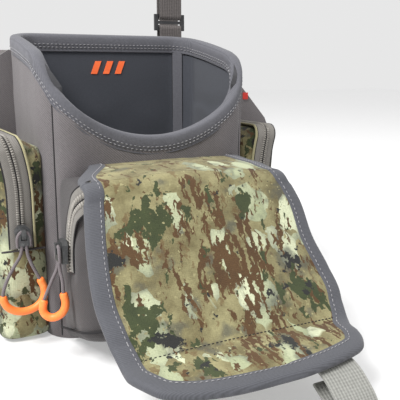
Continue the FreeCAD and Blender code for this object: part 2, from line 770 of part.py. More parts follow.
def make_shoulders():
    """Both shoulder straps, each doubled through its ladder lock."""
    across = Vector(SHOULDER_WEB_WIDTH, 0, 0)
    make_anchor("right", SHOULDER_X, 0.0, RIGHT_STAND_OFF)
    doubled = webbing(at_x(tipped(STRAP_TURN, 0.0, RIGHT_STAND_OFF), SHOULDER_X), WEB, across)
    free = drifting_web([Vector(*point) for point in RIGHT_ROUTE], WEB, SHOULDER_WEB_WIDTH)
    save("right_shoulder_strap", doubled.fuse(free).removeSplitter())

    make_anchor("left", -SHOULDER_X, LEFT_LEAN, 0.0)
    free = [Vector(0, y, z) for y, z in LEFT_ROUTE]
    strap = webbing(at_x(tipped(STRAP_TURN, LEFT_LEAN, 0.0) + free, -SHOULDER_X), WEB, across)
    save("left_shoulder_strap", strap)


def make_yoke():
    """The pad between the shoulder blades, standing on its lower edge."""
    outline = rounded_outline(YOKE_HALF_X, YOKE_HALF_Z, YOKE_CORNER, 0)
    save("yoke_pad", standing_pad(outline, YOKE_THICK, YOKE_FRONT, YOKE_HALF_Z))


def around(middle, half):
    """A (low, high) pair this far either side of a middle."""
    return (middle - half, middle + half)


def make_buckles():
    """A side-release buckle in each side strap: the socket on the wing, the plug to the yoke."""
    middle = SIDE_WEB_LOW + SIDE_WEB_WIDTH / 2
    near, mouth = SOCKET
    hollow_x = around(BUCKLE_X, CAVITY_HALF_X)
    socket = block(around(BUCKLE_X, SOCKET_HALF_X), SOCKET, around(middle, SOCKET_HALF_Z))
    cavity = block(hollow_x, (near + 6.0, mouth + 1.0), around(middle, CAVITY_HALF_Z))
    windows = block(hollow_x, (near + 10.0, mouth - 6.0), around(middle, SOCKET_HALF_Z + 1.0))
    socket = socket.cut(cavity).cut(windows)
    plug = block(around(BUCKLE_X, PLUG_HALF_X), (mouth + 0.4, PLUG_END), around(middle, PLUG_HALF_Z))
    for offset in PRONG_OFFSETS:
        sides = around(middle + offset, PRONG_HALF)
        plug = plug.fuse(block(around(BUCKLE_X, PRONG_HALF), (near + 8.0, mouth + 1.0), sides))
    plug = plug.removeSplitter()
    save("right_buckle_socket", socket)
    save("left_buckle_socket", mirrored(socket))
    save("right_buckle_plug", plug)
    save("left_buckle_plug", mirrored(plug))


def make_side_straps():
    """The webbing from each wing to its socket, and from each plug to the yoke."""
    middle = SIDE_WEB_LOW + SIDE_WEB_WIDTH / 2
    across = Vector(0, 0, SIDE_WEB_WIDTH)
    rear = WING_FRONT + WING_THICK + GAP + WEB
    wing_route = [
        Vector(118.0, rear, middle),
        Vector(148.0, rear, middle),
        Vector(BUCKLE_X, 60.0, middle),
        Vector(BUCKLE_X, SOCKET[0], middle),
    ]
    yoke_rear = YOKE_FRONT + YOKE_THICK + GAP + WEB
    beside = BUCKLE_X + PLUG_HALF_X + WEB + 0.4
    yoke_route = [
        Vector(beside, SOCKET[1] + 3.0, middle),
        Vector(beside, 158.0, middle),
        Vector(146.0, yoke_rear, middle),
        Vector(112.0, yoke_rear + 0.6, middle),
        Vector(58.0, yoke_rear, middle),
    ]
    for name, route in (("side_strap", wing_route), ("yoke_strap", yoke_route)):
        strap = webbing(route, WEB, across)
        save("right_%s" % name, strap)
        save("left_%s" % name, mirrored(strap))


make_compartment()
make_back()
make_side_pockets()
make_front_pocket()
make_zips()
make_lid()
make_shoulders()
make_yoke()
make_buckles()
make_side_straps()
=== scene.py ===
import math

import bmesh
import bpy
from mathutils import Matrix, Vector, noise


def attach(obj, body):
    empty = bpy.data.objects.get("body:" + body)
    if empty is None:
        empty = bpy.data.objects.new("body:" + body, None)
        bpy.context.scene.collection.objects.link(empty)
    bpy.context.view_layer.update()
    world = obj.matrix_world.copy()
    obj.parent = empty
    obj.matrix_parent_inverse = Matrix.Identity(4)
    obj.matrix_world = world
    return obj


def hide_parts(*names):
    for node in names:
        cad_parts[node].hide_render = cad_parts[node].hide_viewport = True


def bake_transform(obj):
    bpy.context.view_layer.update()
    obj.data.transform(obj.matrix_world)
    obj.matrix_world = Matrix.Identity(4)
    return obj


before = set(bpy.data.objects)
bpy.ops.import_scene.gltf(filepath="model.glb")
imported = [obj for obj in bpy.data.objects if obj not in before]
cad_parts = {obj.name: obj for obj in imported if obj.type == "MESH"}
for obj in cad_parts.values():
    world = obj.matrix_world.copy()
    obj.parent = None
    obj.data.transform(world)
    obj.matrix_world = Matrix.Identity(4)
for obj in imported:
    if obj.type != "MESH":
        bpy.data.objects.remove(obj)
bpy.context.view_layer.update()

# The looks of a binocular harness pack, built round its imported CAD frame.
# Sizes are in millimetres in the CAD's own frame, and MM turns them into metres.
MM = 0.001

# Main compartment
HALF_X, HALF_Y, CORNER = 76.0, 50.5, 22.0
WALL = 5.0
FOAM_OUT, FOAM_IN = 1.6, 4.2
FLOOR = 4.0
SEAM = CORNER * (1 - math.cos(math.pi / 4))
DIP_LOW, DIP_RADIUS = 136.0, 86.0

# Pockets
POCKET_X = 76.0
POCKET_FRONT, POCKET_BACK, POCKET_TOP, ARCH = -40.5, 41.5, 138.0, 10.0
FRONT_FACE, FRONT_HALF, FRONT_TOP, FRONT_ROUND = -111.5, 72.5, 114.0, 18.0
FRONT_SLOPE, FRONT_SEAM = 19.0, 11.0

# Zips
ZIP_X, ZIP_LOW, TAPE_WIDTH, TAPE = 93.0, 66.0, 15.0, 0.8
DRIFT_FROM, DRIFT = 98.0, 6.5
ZIP_CENTRE, ZIP_RADIUS, FRONT_TAPE = (-130.3, 66.0), 49.5, 15.0

# Lid profile: hinge, fold and crease in the YZ plane, and where they lie along the cloth
HINGE, FOLD, CREASE, LIP_END = (-54.5, 117.5), (-116.5, 117.5), (-168.23, 33.09), (-210.4, 27.2)
FOLD_AT, CREASE_AT, LID_END = 62.0, 161.0, 203.0
FOLD_BEND, CREASE_BEND = 9.0, 4.0
BINDING = 11.0

CORD, SLEEVE = 2.2, 5.0

# Studio: the surround's strength, the paper's own glow, and lights as (name, place, size, watts)
SURROUND, PAPER_GLOW = 0.8, 0.34
LIGHT_AIM = (0, -0.03, 0.1)
LIGHTS = [
    ("key", (-1.1, -0.5, 1.4), 0.6, 46.0),
    ("fill", (1.2, -0.8, 0.8), 1.2, 2.0),
    ("top", (0.1, 0.3, 1.6), 1.4, 10.0),
]


# ---------------------------------------------------------------- materials

def add(tree, kind, settings=None, **inputs):
    """A shader node; each input is a value or another node's socket."""
    node = tree.nodes.new("ShaderNode" + kind)
    for key, value in (settings or {}).items():
        setattr(node, key, value)
    for key, value in inputs.items():
        wire(tree, node.inputs[key.replace("_", " ")], value)
    return node


def wire(tree, socket, value):
    """Gives a socket a link or a plain value."""
    if isinstance(value, bpy.types.NodeSocket):
        tree.links.new(value, socket)
    else:
        socket.default_value = value


def calc(tree, operation, first, second=0.0, clamp=False):
    """One step of arithmetic on sockets."""
    node = tree.nodes.new("ShaderNodeMath")
    node.operation = operation
    node.use_clamp = clamp
    wire(tree, node.inputs[0], first)
    wire(tree, node.inputs[1], second)
    return node.outputs[0]


def mix(tree, share, low, high, mode="MIX"):
    """A blend of two colours."""
    node = tree.nodes.new("ShaderNodeMix")
    node.data_type = "RGBA"
    node.blend_type = mode
    wire(tree, node.inputs["Factor"], share)
    wire(tree, node.inputs[6], low)
    wire(tree, node.inputs[7], high)
    return node.outputs[2]


def step(tree, value, edge, softness=0.02):
    """0 below edge and 1 above it, over a short ramp."""
    node = tree.nodes.new("ShaderNodeMapRange")
    node.interpolation_type = "SMOOTHSTEP"
    wire(tree, node.inputs["Value"], value)
    node.inputs["From Min"].default_value = edge - softness
    node.inputs["From Max"].default_value = edge + softness
    return node.outputs[0]


def rgb(red, green, blue):
    """A colour from display values of 0 to 255, with no alpha of its own."""
    return tuple(((part / 255 + 0.055) / 1.055) ** 2.4 for part in (red, green, blue)) + (1.0,)


def placed(tree, vector, turn=(0, 0, 0), scale=(1, 1, 1)):
    """Coordinates turned by degrees and scaled."""
    turned = tuple(math.radians(angle) for angle in turn)
    return add(tree, "Mapping", Vector=vector, Rotation=turned, Scale=scale).outputs[0]


def cloud(tree, vector, scale, detail=2.0, roughness=0.5, distortion=0.0):
    """Noise, as its value."""
    settings = {"Scale": scale, "Detail": detail, "Roughness": roughness, "Distortion": distortion}
    return add(tree, "TexNoise", Vector=vector, **settings).outputs[0]


def lines(tree, vector, pitch_mm, direction="X", distortion=0.0):
    """Soft stripes this far apart, as 0 to 1."""
    waves = {"wave_type": "BANDS", "bands_direction": direction}
    scale = math.pi / 10 / (pitch_mm * MM)
    return add(tree, "TexWave", waves, Vector=vector, Scale=scale, Distortion=distortion).outputs["Fac"]


def start_material(name, use_uv=False):
    """An empty material: its tree and its coordinates in metres."""
    material = bpy.data.materials.new(name)
    material.use_nodes = True
    tree = material.node_tree
    tree.nodes.clear()
    coordinates = add(tree, "TexCoord").outputs["UV" if use_uv else "Object"]
    return material, tree, coordinates


def finish_material(
    material, tree, colour, height, depth_mm, roughness=0.8, metallic=0.0, sheen=0.0, strength=0.6
):
    """Puts the surface together."""
    bump = add(tree, "Bump", Height=height, Distance=depth_mm * MM, Strength=strength).outputs[0]
    surface = add(tree, "BsdfPrincipled", Normal=bump, Roughness=roughness, Metallic=metallic)
    wire(tree, surface.inputs["Base Color"], colour)
    surface.inputs["Sheen Weight"].default_value = sheen
    surface.inputs["Sheen Roughness"].default_value = 0.5
    output = tree.nodes.new("ShaderNodeOutputMaterial")
    tree.links.new(surface.outputs[0], output.inputs[0])
    return material


def woven(name, dark, light, weave_mm, diagonal=False, use_uv=False, depth=0.25, sheen=0.1, patch=0.12):
    """Woven cloth: two yarn directions, mottled yarn colour and slow changes in shade."""
    material, tree, where = start_material(name, use_uv)
    turned = placed(tree, where, (0, 0, 45) if use_uv else (35, 30, 45)) if diagonal else where
    warp = lines(tree, turned, weave_mm, "X", 0.4)
    weft = lines(tree, turned, weave_mm * (0.8 if diagonal else 1.0), "Z" if not use_uv else "Y", 0.4)
    weave = calc(tree, "MAXIMUM", warp, calc(tree, "MULTIPLY", weft, 0.8))
    yarn = cloud(tree, where, 700.0, 2.0, 0.6)
    patches = cloud(tree, where, 22.0, 3.0)
    share = calc(tree, "ADD", calc(tree, "MULTIPLY", weave, 0.55), calc(tree, "MULTIPLY", yarn, 0.45))
    colour = mix(tree, share, dark, light)
    shade = mix(tree, patches, (1 - patch, 1 - patch, 1 - patch, 1), (1 + patch, 1 + patch, 1 + patch, 1))
    colour = mix(tree, 1.0, colour, shade, "MULTIPLY")
    height = calc(tree, "ADD", weave, calc(tree, "MULTIPLY", yarn, 0.5))
    return finish_material(material, tree, colour, height, depth, 0.85, sheen=sheen)


def spots(tree, where, places):
    """Soft round zones of a print: 1 in the middle of each (x, along, radius in mm), 0 outside."""
    total = 0.0
    for x, along, radius in places:
        away = add(tree, "VectorMath", {"operation": "DISTANCE"})
        wire(tree, away.inputs[0], where)
        away.inputs[1].default_value = (x * MM, along * MM, 0.0)
        inside = calc(tree, "SUBTRACT", 1.0, calc(tree, "DIVIDE", away.outputs["Value"], radius * MM), True)
        total = calc(tree, "MAXIMUM", total, inside)
    return total


def zone(tree, where, offset, places):
    """Where a motif gathers: placed spots, or slow noise when there are none."""
    drifting = cloud(tree, placed(tree, where, (offset, 2 * offset, 3 * offset)), 21.0, 2.0)
    if not places:
        return calc(tree, "MULTIPLY", calc(tree, "SUBTRACT", drifting, 0.42), 2.2)
    return calc(tree, "ADD", spots(tree, where, places), calc(tree, "SUBTRACT", drifting, 0.5))


def warp(tree, where, scale, amount_mm):
    """Coordinates pushed about by noise, for ragged outlines."""
    colours = add(tree, "TexNoise", Vector=where, Scale=scale, Detail=3.0).outputs["Color"]
    centred = add(tree, "VectorMath", {"operation": "SUBTRACT"})
    wire(tree, centred.inputs[0], colours)
    centred.inputs[1].default_value = (0.5, 0.5, 0.5)
    push = add(tree, "VectorMath", {"operation": "SCALE"})
    wire(tree, push.inputs[0], centred.outputs[0])
    push.inputs["Scale"].default_value = 2 * amount_mm * MM
    moved = add(tree, "VectorMath", {"operation": "ADD"})
    wire(tree, moved.inputs[0], where)
    wire(tree, moved.inputs[1], push.outputs[0])
    return moved.outputs[0]


def motif(tree, texture, zone_value, pull, edge, softness=0.012):
    """The share of a motif: its texture, helped on where its zone is strong."""
    return step(tree, calc(tree, "ADD", texture, calc(tree, "MULTIPLY", zone_value, pull)), edge, softness)


def camouflage(name, zones, use_uv=False):
    """Printed woodland cloth: pale patches, brown bark, green leaves and dark smudges."""
    material, tree, where = start_material(name, use_uv)
    ragged = warp(tree, where, 110.0, 4.0)
    shaken = warp(tree, where, 280.0, 2.4)

    earth = step(tree, cloud(tree, where, 45.0, 4.0, 0.6), 0.5, 0.2)
    colour = mix(tree, earth, TAN, KHAKI)
    cracked = placed(tree, shaken, (0, 0, 20), (1, 0.5, 0.5))
    cracks = step(tree, cloud(tree, cracked, 170.0, 4.0, 0.6), 0.6, 0.03)
    colour = mix(tree, calc(tree, "MULTIPLY", cracks, 0.55), colour, BARK)

    cells = add(tree, "TexVoronoi", Vector=placed(tree, ragged, (12, 25, 32), (1, 0.55, 0.7)), Scale=85.0)
    pick = add(tree, "SeparateColor", Color=cells.outputs["Color"])
    pale = motif(tree, pick.outputs[0], zone(tree, where, 10, zones.get("pale")), 0.75, 0.80)
    pale_colour = mix(tree, pick.outputs[1], SAGE, CREAM)
    fade = step(tree, cells.outputs["Distance"], 0.62, 0.22)
    pale_colour = mix(tree, calc(tree, "MULTIPLY", fade, 0.75), pale_colour, SLATE)
    colour = mix(tree, pale, colour, pale_colour)

    smoke = cloud(tree, where, 60.0, 3.0)
    haze = motif(tree, smoke, zone(tree, where, 31, zones.get("dark")), 0.24, 0.62, 0.08)
    colour = mix(tree, calc(tree, "MULTIPLY", haze, 0.7), colour, SMOKE)

    slender = placed(tree, shaken, (20, 35, -38), (1.0, 0.36, 0.36))
    bark = cloud(tree, slender, 150.0, 3.0, 0.55, 0.3)
    woody = motif(tree, bark, zone(tree, where, 52, zones.get("brown")), 0.20, 0.585)
    narrow = placed(tree, shaken, (70, 5, -42), (1.0, 0.22, 0.3))
    slits = step(tree, cloud(tree, narrow, 330.0, 2.0), 0.56, 0.02)
    woody = calc(tree, "MULTIPLY", woody, calc(tree, "SUBTRACT", 1.0, slits))
    colour = mix(tree, woody, colour, mix(tree, cloud(tree, where, 70.0, 4.0), BROWN, BARK))

    leaves = cloud(tree, placed(tree, ragged, (-20, 15, 30), (1.0, 0.6, 0.7)), 105.0, 4.0, 0.6)
    green = motif(tree, leaves, zone(tree, where, 73, zones.get("green")), 0.24, 0.635)
    colour = mix(tree, green, colour, mix(tree, cloud(tree, where, 130.0, 3.0), MOSS, LEAF))

    blots = cloud(tree, placed(tree, shaken, (40, 10, 60)), 120.0, 4.0, 0.6)
    dark = motif(tree, blots, zone(tree, where, 31, zones.get("dark")), 0.26, 0.68)
    colour = mix(tree, dark, colour, SOOT)

    specks = step(tree, cloud(tree, placed(tree, where, (5, 50, 10)), 330.0, 2.0), 0.685, 0.02)
    colour = mix(tree, specks, colour, KHAKI)
    weave = calc(tree, "MAXIMUM", lines(tree, where, 1.1, "X", 0.3), lines(tree, where, 1.1, "Y", 0.3))
    grain = cloud(tree, where, 850.0, 2.0)
    shade = mix(tree, grain, (0.7, 0.7, 0.7, 1), (1.25, 1.25, 1.25, 1))
    colour = mix(tree, 1.0, colour, shade, "MULTIPLY")
    height = calc(tree, "ADD", calc(tree, "MULTIPLY", weave, 0.5), grain)
    return finish_material(material, tree, colour, height, 0.2, 0.9, sheen=0.05)


def ribbed(name, dark, light, direction, pitch, use_uv=False, depth=0.3):
    """Webbing or grosgrain: ribs this far apart, with fine cross threads."""
    material, tree, where = start_material(name, use_uv)
    ribs = lines(tree, where, pitch, direction, 0.15)
    other = {"X": "Z", "Z": "X", "Y": "X"}[direction]
    if use_uv:
        other = {"X": "Y", "Y": "X"}[direction]
    threads = lines(tree, where, pitch * 0.55, other, 0.3)
    grain = cloud(tree, where, 800.0, 2.0)
    height = calc(tree, "ADD", ribs, calc(tree, "MULTIPLY", threads, 0.45))
    share = calc(tree, "ADD", calc(tree, "MULTIPLY", height, 0.4), calc(tree, "MULTIPLY", grain, 0.5))
    colour = mix(tree, share, dark, light)
    worn = mix(tree, cloud(tree, where, 30.0, 3.0), (0.9, 0.9, 0.9, 1), (1.1, 1.1, 1.1, 1))
    colour = mix(tree, 1.0, colour, worn, "MULTIPLY")
    return finish_material(material, tree, colour, height, depth, 0.78, sheen=0.1)


def moulded(name, dark, light, roughness, grain_mm=0.8, depth=0.05, metallic=0.0):
    """Moulded plastic, rubber or painted metal with a fine grain and a little wear."""
    material, tree, where = start_material(name)
    grain = cloud(tree, where, 1 / (grain_mm * MM), 3.0)
    wear = step(tree, cloud(tree, where, 160.0, 4.0, 0.6), 0.6, 0.12)
    share = calc(tree, "ADD", calc(tree, "MULTIPLY", grain, 0.5), calc(tree, "MULTIPLY", wear, 0.5), True)
    colour = mix(tree, share, dark, light)
    rough = calc(tree, "ADD", roughness - 0.06, calc(tree, "MULTIPLY", grain, 0.12))
    return finish_material(material, tree, colour, grain, depth, rough, metallic, strength=0.4)


def mesh_cloth(name):
    """Spacer mesh: a honeycomb of small holes."""
    material, tree, where = start_material(name)
    cells = add(tree, "TexVoronoi", {"feature": "DISTANCE_TO_EDGE"}, Vector=where, Scale=330.0)
    web = step(tree, calc(tree, "SUBTRACT", 0.3, cells.outputs["Distance"]), 0.12, 0.06)
    colour = mix(tree, web, rgb(28, 28, 30), rgb(88, 88, 92))
    return finish_material(material, tree, colour, web, 0.6, 0.9)


# The print's inks, as display values
TAN, KHAKI = rgb(92, 84, 54), rgb(134, 128, 92)
SAGE, CREAM, SLATE = rgb(142, 148, 116), rgb(184, 188, 158), rgb(96, 99, 84)
BROWN, BARK = rgb(58, 38, 16), rgb(84, 59, 28)
MOSS, LEAF = rgb(34, 42, 20), rgb(58, 66, 34)
SOOT, SMOKE = rgb(26, 27, 25), rgb(66, 67, 60)
# Where each motif gathers on the lid, as (x, distance from the hinge, radius)
LID_ZONES = {
    "pale": [(-60, 78, 24), (32, 84, 36), (58, 108, 22), (-20, 176, 14)],
    "brown": [(8, 116, 48), (-4, 74, 22), (-58, 100, 20), (0, 182, 24), (55, 172, 20)],
    "green": [(-36, 88, 26), (-58, 142, 24), (52, 140, 22), (24, 80, 12), (-40, 178, 20)],
    "dark": [(-63, 104, 12), (47, 118, 16), (-46, 154, 16), (20, 176, 16)],
}

SHELL = woven("shell_cloth", rgb(56, 53, 54), rgb(114, 109, 110), 1.15, diagonal=True, depth=0.3)
# The shell's cloth darkened as painted shade, worn by the front pocket and the side pockets' seams.
SHELL_PAINTED_SHADE = woven("shell_cloth_painted_shade", rgb(32, 30, 31), rgb(70, 66, 66), 1.1, diagonal=True)
BAND_CLOTH = woven("band_cloth", rgb(56, 56, 61), rgb(94, 94, 100), 0.8, depth=0.2, patch=0.08)
LINING_CLOTH = woven("lining_cloth", rgb(32, 34, 40), rgb(58, 61, 69), 0.6, depth=0.08, sheen=0.2, patch=0.1)
CAMO = camouflage("camouflage_cloth", {})
CAMO_FLAT = camouflage("camouflage_lid", LID_ZONES, True)
LID_TAPE = ribbed("lid_tape", rgb(48, 49, 53), rgb(80, 81, 87), "Y", 0.9, True, 0.1)
TAPE_CLOTH = woven(
    "tape_cloth", rgb(84, 81, 77), rgb(128, 124, 118), 0.9, diagonal=True, depth=0.2, patch=0.04
)
TEETH = moulded("teeth_nylon", rgb(116, 112, 106), rgb(160, 155, 147), 0.5)
WEB_ACROSS_X = ribbed("webbing_x", rgb(50, 46, 45), rgb(92, 86, 84), "X", 2.2)
WEB_ACROSS_Z = ribbed("webbing_z", rgb(50, 46, 45), rgb(92, 86, 84), "Z", 2.2)
LOOP_WEB = ribbed("webbing_loop", rgb(92, 92, 88), rgb(150, 150, 144), "X", 2.0)
HARDWARE = moulded("black_acetal", rgb(30, 30, 32), rgb(52, 52, 55), 0.45)
SLIDER_PAINT = moulded("dark_nickel", rgb(70, 70, 71), rgb(128, 130, 130), 0.36, metallic=0.7)
RUBBER = moulded("orange_rubber", rgb(250, 118, 44), rgb(255, 152, 82), 0.5, 1.2, 0.04)
PIPING = woven("piping_cloth", rgb(118, 112, 82), rgb(168, 162, 126), 0.8, diagonal=True)
PRINT = moulded("orange_print", rgb(236, 96, 40), rgb(250, 120, 62), 0.6, 0.6, 0.03)
CORD_BRAID = woven(
    "cord_braid", rgb(70, 64, 66), rgb(118, 110, 112), 0.9, diagonal=True, depth=0.25, patch=0.05
)
THREAD = moulded("sewing_thread", rgb(118, 117, 120), rgb(160, 158, 160), 0.7, 0.5)
# Near-black thread; the same material is laid as dark lines that paint shade in grooves, a fold, creases and
# gaps.
DARK_THREAD_AND_SHADE = moulded("dark_thread_and_shade", rgb(20, 19, 20), rgb(38, 36, 38), 0.9, 0.5)
MESH_CLOTH = mesh_cloth("spacer_mesh")
FOAM_SHEET = moulded("foam_sheet", rgb(46, 46, 48), rgb(70, 70, 73), 0.95, 1.5, 0.2)
BOARD = moulded("board_plastic", rgb(34, 34, 35), rgb(52, 52, 54), 0.6)
STEEL = moulded("magnet_plating", rgb(150, 150, 155), rgb(190, 190, 195), 0.3, metallic=1.0)
TAG = woven("tag_cloth", rgb(150, 24, 18), rgb(196, 46, 34), 0.7)


# ---------------------------------------------------------------- building pieces

def grid(rows, columns, ring=False, loop=False):
    """Quads over rows of points; ring joins the last column to the first, loop the last row."""
    faces = []
    for row in range(rows if loop else rows - 1):
        for column in range(columns if ring else columns - 1):
            beside = (column + 1) % columns
            here, below = row * columns, (row + 1) % rows * columns
            faces.append((here + column, here + beside, below + beside, below + column))
    return faces


def piece_from(name, points, faces, material, uv=None, sharp=50.0):
    """A smooth mesh object from points in millimetres."""
    mesh = bpy.data.meshes.new(name)
    mesh.from_pydata([Vector(point) * MM for point in points], [], faces)
    if uv:
        layer = mesh.uv_layers.new(name="cloth")
        for loop in mesh.loops:
            layer.data[loop.index].uv = (uv[loop.vertex_index][0] * MM, uv[loop.vertex_index][1] * MM)
    shell = bmesh.new()
    shell.from_mesh(mesh)
    bmesh.ops.recalc_face_normals(shell, faces=shell.faces)
    shell.to_mesh(mesh)
    shell.free()
    mesh.shade_smooth()
    mesh.set_sharp_from_angle(angle=math.radians(sharp))
    mesh.materials.append(material)
    made = bpy.data.objects.new(name, mesh)
    bpy.context.scene.collection.objects.link(made)
    return made


def dress(piece, body, slot, *nodes):
    """The piece rides on a body and stands for these CAD nodes, which are hidden; slot is not used."""
    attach(piece, body)
    if nodes:
        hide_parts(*nodes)
    return piece


def skin(sections, closed=False):
    """Points and faces over closed sections, capped unless the run of sections is closed."""
    points = [point for section in sections for point in section]
    count = len(sections[0])
    faces = grid(len(sections), count, ring=True, loop=closed)
    if not closed:
        faces.append(tuple(range(count)))
        last = (len(sections) - 1) * count
        faces.append(tuple(range(last, last + count)))
    return points, faces


def slab(outer, inner, ring=False):
    """Points and faces of a sheet with thickness, from two grids of points."""
    rows, columns = len(outer), len(outer[0])
    points = [point for row in outer for point in row] + [point for row in inner for point in row]
    half = rows * columns
    faces = grid(rows, columns, ring=ring)
    faces += [tuple(half + index for index in reversed(face)) for face in faces]
    last = (rows - 1) * columns
    for column in range(columns if ring else columns - 1):
        beside = (column + 1) % columns
        faces.append((column, beside, half + beside, half + column))
        faces.append((last + column, half + last + column, half + last + beside, last + beside))
    if not ring:
        for row in range(rows - 1):
            left, below = row * columns, (row + 1) * columns
            faces.append((left, half + left, half + below, below))
            right, lower = left + columns - 1, below + columns - 1
            faces.append((right, lower, half + lower, half + right))
    return points, faces


def rounded_route(corners, share=0.45, steps=8):
    """A polyline with its corners rounded."""
    route = [Vector(corners[0])]
    for before, corner, after in zip(corners, corners[1:], corners[2:]):
        corner = Vector(corner)
        arriving, leaving = Vector(before) - corner, Vector(after) - corner
        trim = share * min(arriving.length, leaving.length)
        first = corner + arriving.normalized() * trim
        last = corner + leaving.normalized() * trim
        for index in range(steps + 1):
            part = index / steps
            route.append(first * (1 - part) ** 2 + corner * 2 * part * (1 - part) + last * part ** 2)
    route.append(Vector(corners[-1]))
    return route


def evenly(route, spacing):
    """Points this far apart along a polyline."""
    lengths = [0.0]
    for first, second in zip(route, route[1:]):
        lengths.append(lengths[-1] + (second - first).length)
    count = max(2, round(lengths[-1] / spacing) + 1)
    spread, index = [], 0
    for number in range(count):
        target = lengths[-1] * number / (count - 1)
        while index < len(route) - 2 and lengths[index + 1] < target:
            index += 1
        span = lengths[index + 1] - lengths[index]
        part = (target - lengths[index]) / span if span else 0.0
        spread.append(route[index].lerp(route[index + 1], part))
    return spread


def round_tube(name, route, radius, material, sides=12, blunt=True):
    """A round bar along a route, with softened ends."""
    sections = []
    guide = Vector((0.31, 0.87, 0.38))
    for index, point in enumerate(route):
        ahead = (route[min(index + 1, len(route) - 1)] - route[max(index - 1, 0)]).normalized()
        side = ahead.cross(guide).normalized()
        guide = side.cross(ahead).normalized()
        section = []
        for corner in range(sides):
            angle = 2 * math.pi * corner / sides
            section.append(point + (side * math.cos(angle) + guide * math.sin(angle)) * radius)
        sections.append(section)
    if blunt:
        for end, inward in ((0, 1), (-1, -1)):
            middle = route[end]
            sections[end] = [middle + (corner - middle) * 0.8 for corner in sections[end]]
    points, faces = skin(sections)
    return piece_from(name, points, faces, material)


def stitch_row(name, spots, material, pitch=3.0, length=2.1, radius=0.32):
    """A row of sewn stitches: spots are (point, outward normal) pairs along the seam."""
    points, faces = [], []
    route = [Vector(spot) for spot, _ in spots]
    travelled, following = 0.0, 0.0
    for index in range(len(route) - 1):
        run = (route[index + 1] - route[index]).length
        while run > 0 and following <= travelled + run:
            part = (following - travelled) / run
            middle = route[index].lerp(route[index + 1], part)
            along = (route[index + 1] - route[index]).normalized()
            up = Vector(spots[index][1]).normalized()
            add_stitch(points, faces, middle, along, up, length, radius)
            following += pitch
        travelled += run
    return piece_from(name, points, faces, material, sharp=80.0)


def add_stitch(points, faces, middle, along, up, length, radius):
    """One thread float: a bar that dips into the cloth at both ends."""
    across = along.cross(up)
    start = len(points)
    sides = 6
    for place, lift, size in ((-0.5, -0.5, 0.35), (-0.25, 0.5, 1.0), (0.25, 0.5, 1.0), (0.5, -0.5, 0.35)):
        centre = middle + along * (length * place) + up * (radius * lift)
        for side in range(sides):
            angle = 2 * math.pi * side / sides
            points.append(centre + (across * math.cos(angle) + up * math.sin(angle)) * radius * size)
    rings = 4
    for ring in range(rings - 1):
        for side in range(sides):
            first = start + ring * sides + side
            second = start + ring * sides + (side + 1) % sides
            faces.append((first, second, second + sides, first + sides))
    faces.append(tuple(range(start, start + sides)))
    faces.append(tuple(range(start + (rings - 1) * sides, start + rings * sides)))


def ease(value):
    """0 to 1 with a smooth start and end."""
    value = min(1.0, max(0.0, value))
    return value * value * (3 - 2 * value)


# ---------------------------------------------------------------- camera and cords

def make_camera():
    data = bpy.data.cameras.new("camera")
    data.lens = 57.2
    data.sensor_width = 36.0
    camera = bpy.data.objects.new("camera", data)
    camera.location = (-0.1789, -0.4492, 0.1813)
    camera.rotation_euler = (math.radians(78.3), 0.0, math.radians(-28.1))
    bpy.context.scene.collection.objects.link(camera)
    bpy.context.scene.camera = camera


# Each cord loop leaves its puller's foot, goes round through its sleeve and comes back
LEFT_CORD = [
    (1.5, 0.0, 0.0), (1.5, 0.0, -5.0), (4.0, -1.4, -13.0), (8.0, -2.2, -21.7), (11.6, -2.8, -30.0),
    (9.6, -3.4, -37.6), (3.0, -3.7, -42.4), (-6.0, -3.6, -43.0), (-13.6, -3.2, -38.8), (-16.4, -2.8, -31.0),
    (-13.0, -2.2, -21.6), (-7.4, -1.2, -12.6), (-1.5, 0.0, -5.0), (-1.5, 0.0, 0.0),
]
FRONT_CORD = [
    (0.0, -1.5, 0.0), (0.0, -1.5, -5.0), (1.0, -4.4, -12.6), (0.8, -4.5, -19.8), (2.3, -5.1, -26.5),
    (0.2, -3.9, -33.1), (-6.2, -0.3, -36.7), (-11.0, 2.3, -31.9), (-9.6, 1.9, -24.7), (-6.2, 1.8, -17.3),
    (-3.0, 1.9, -10.6), (0.0, 1.5, -5.0), (0.0, 1.5, 0.0),
]
RIGHT_CORD = [
    (-1.5, 0.0, 0.0), (-1.5, 0.0, -5.0), (-4.6, -1.4, -13.0), (-8.4, -2.2, -21.4), (-9.8, -2.8, -30.2),
    (-6.0, -3.4, -37.8), (1.6, -3.7, -41.0), (8.4, -3.4, -37.0), (11.0, -2.8, -28.6), (8.4, -2.0, -19.8),
    (4.2, -1.2, -12.0), (1.5, 0.0, -5.0), (1.5, 0.0, 0.0),
]
# side: the puller's foot, the route, the cord's length and the sleeve's share of it
CORDS = {
    "left": ((-93.0, -48.1, 69.5), LEFT_CORD, 107.7, (0.22, 0.68)),
    "front": ((-80.1, -81.223, 66.961), FRONT_CORD, 81.9, (0.24, 0.68)),
    "right": ((93.0, -48.1, 69.5), RIGHT_CORD, 94.2, (0.31, 0.71)),
}


def turned(side, offset):
    """An offset from a puller, turned to the way its zip faces."""
    return Vector((offset.y, -offset.x, offset.z)) if side == "front" else offset


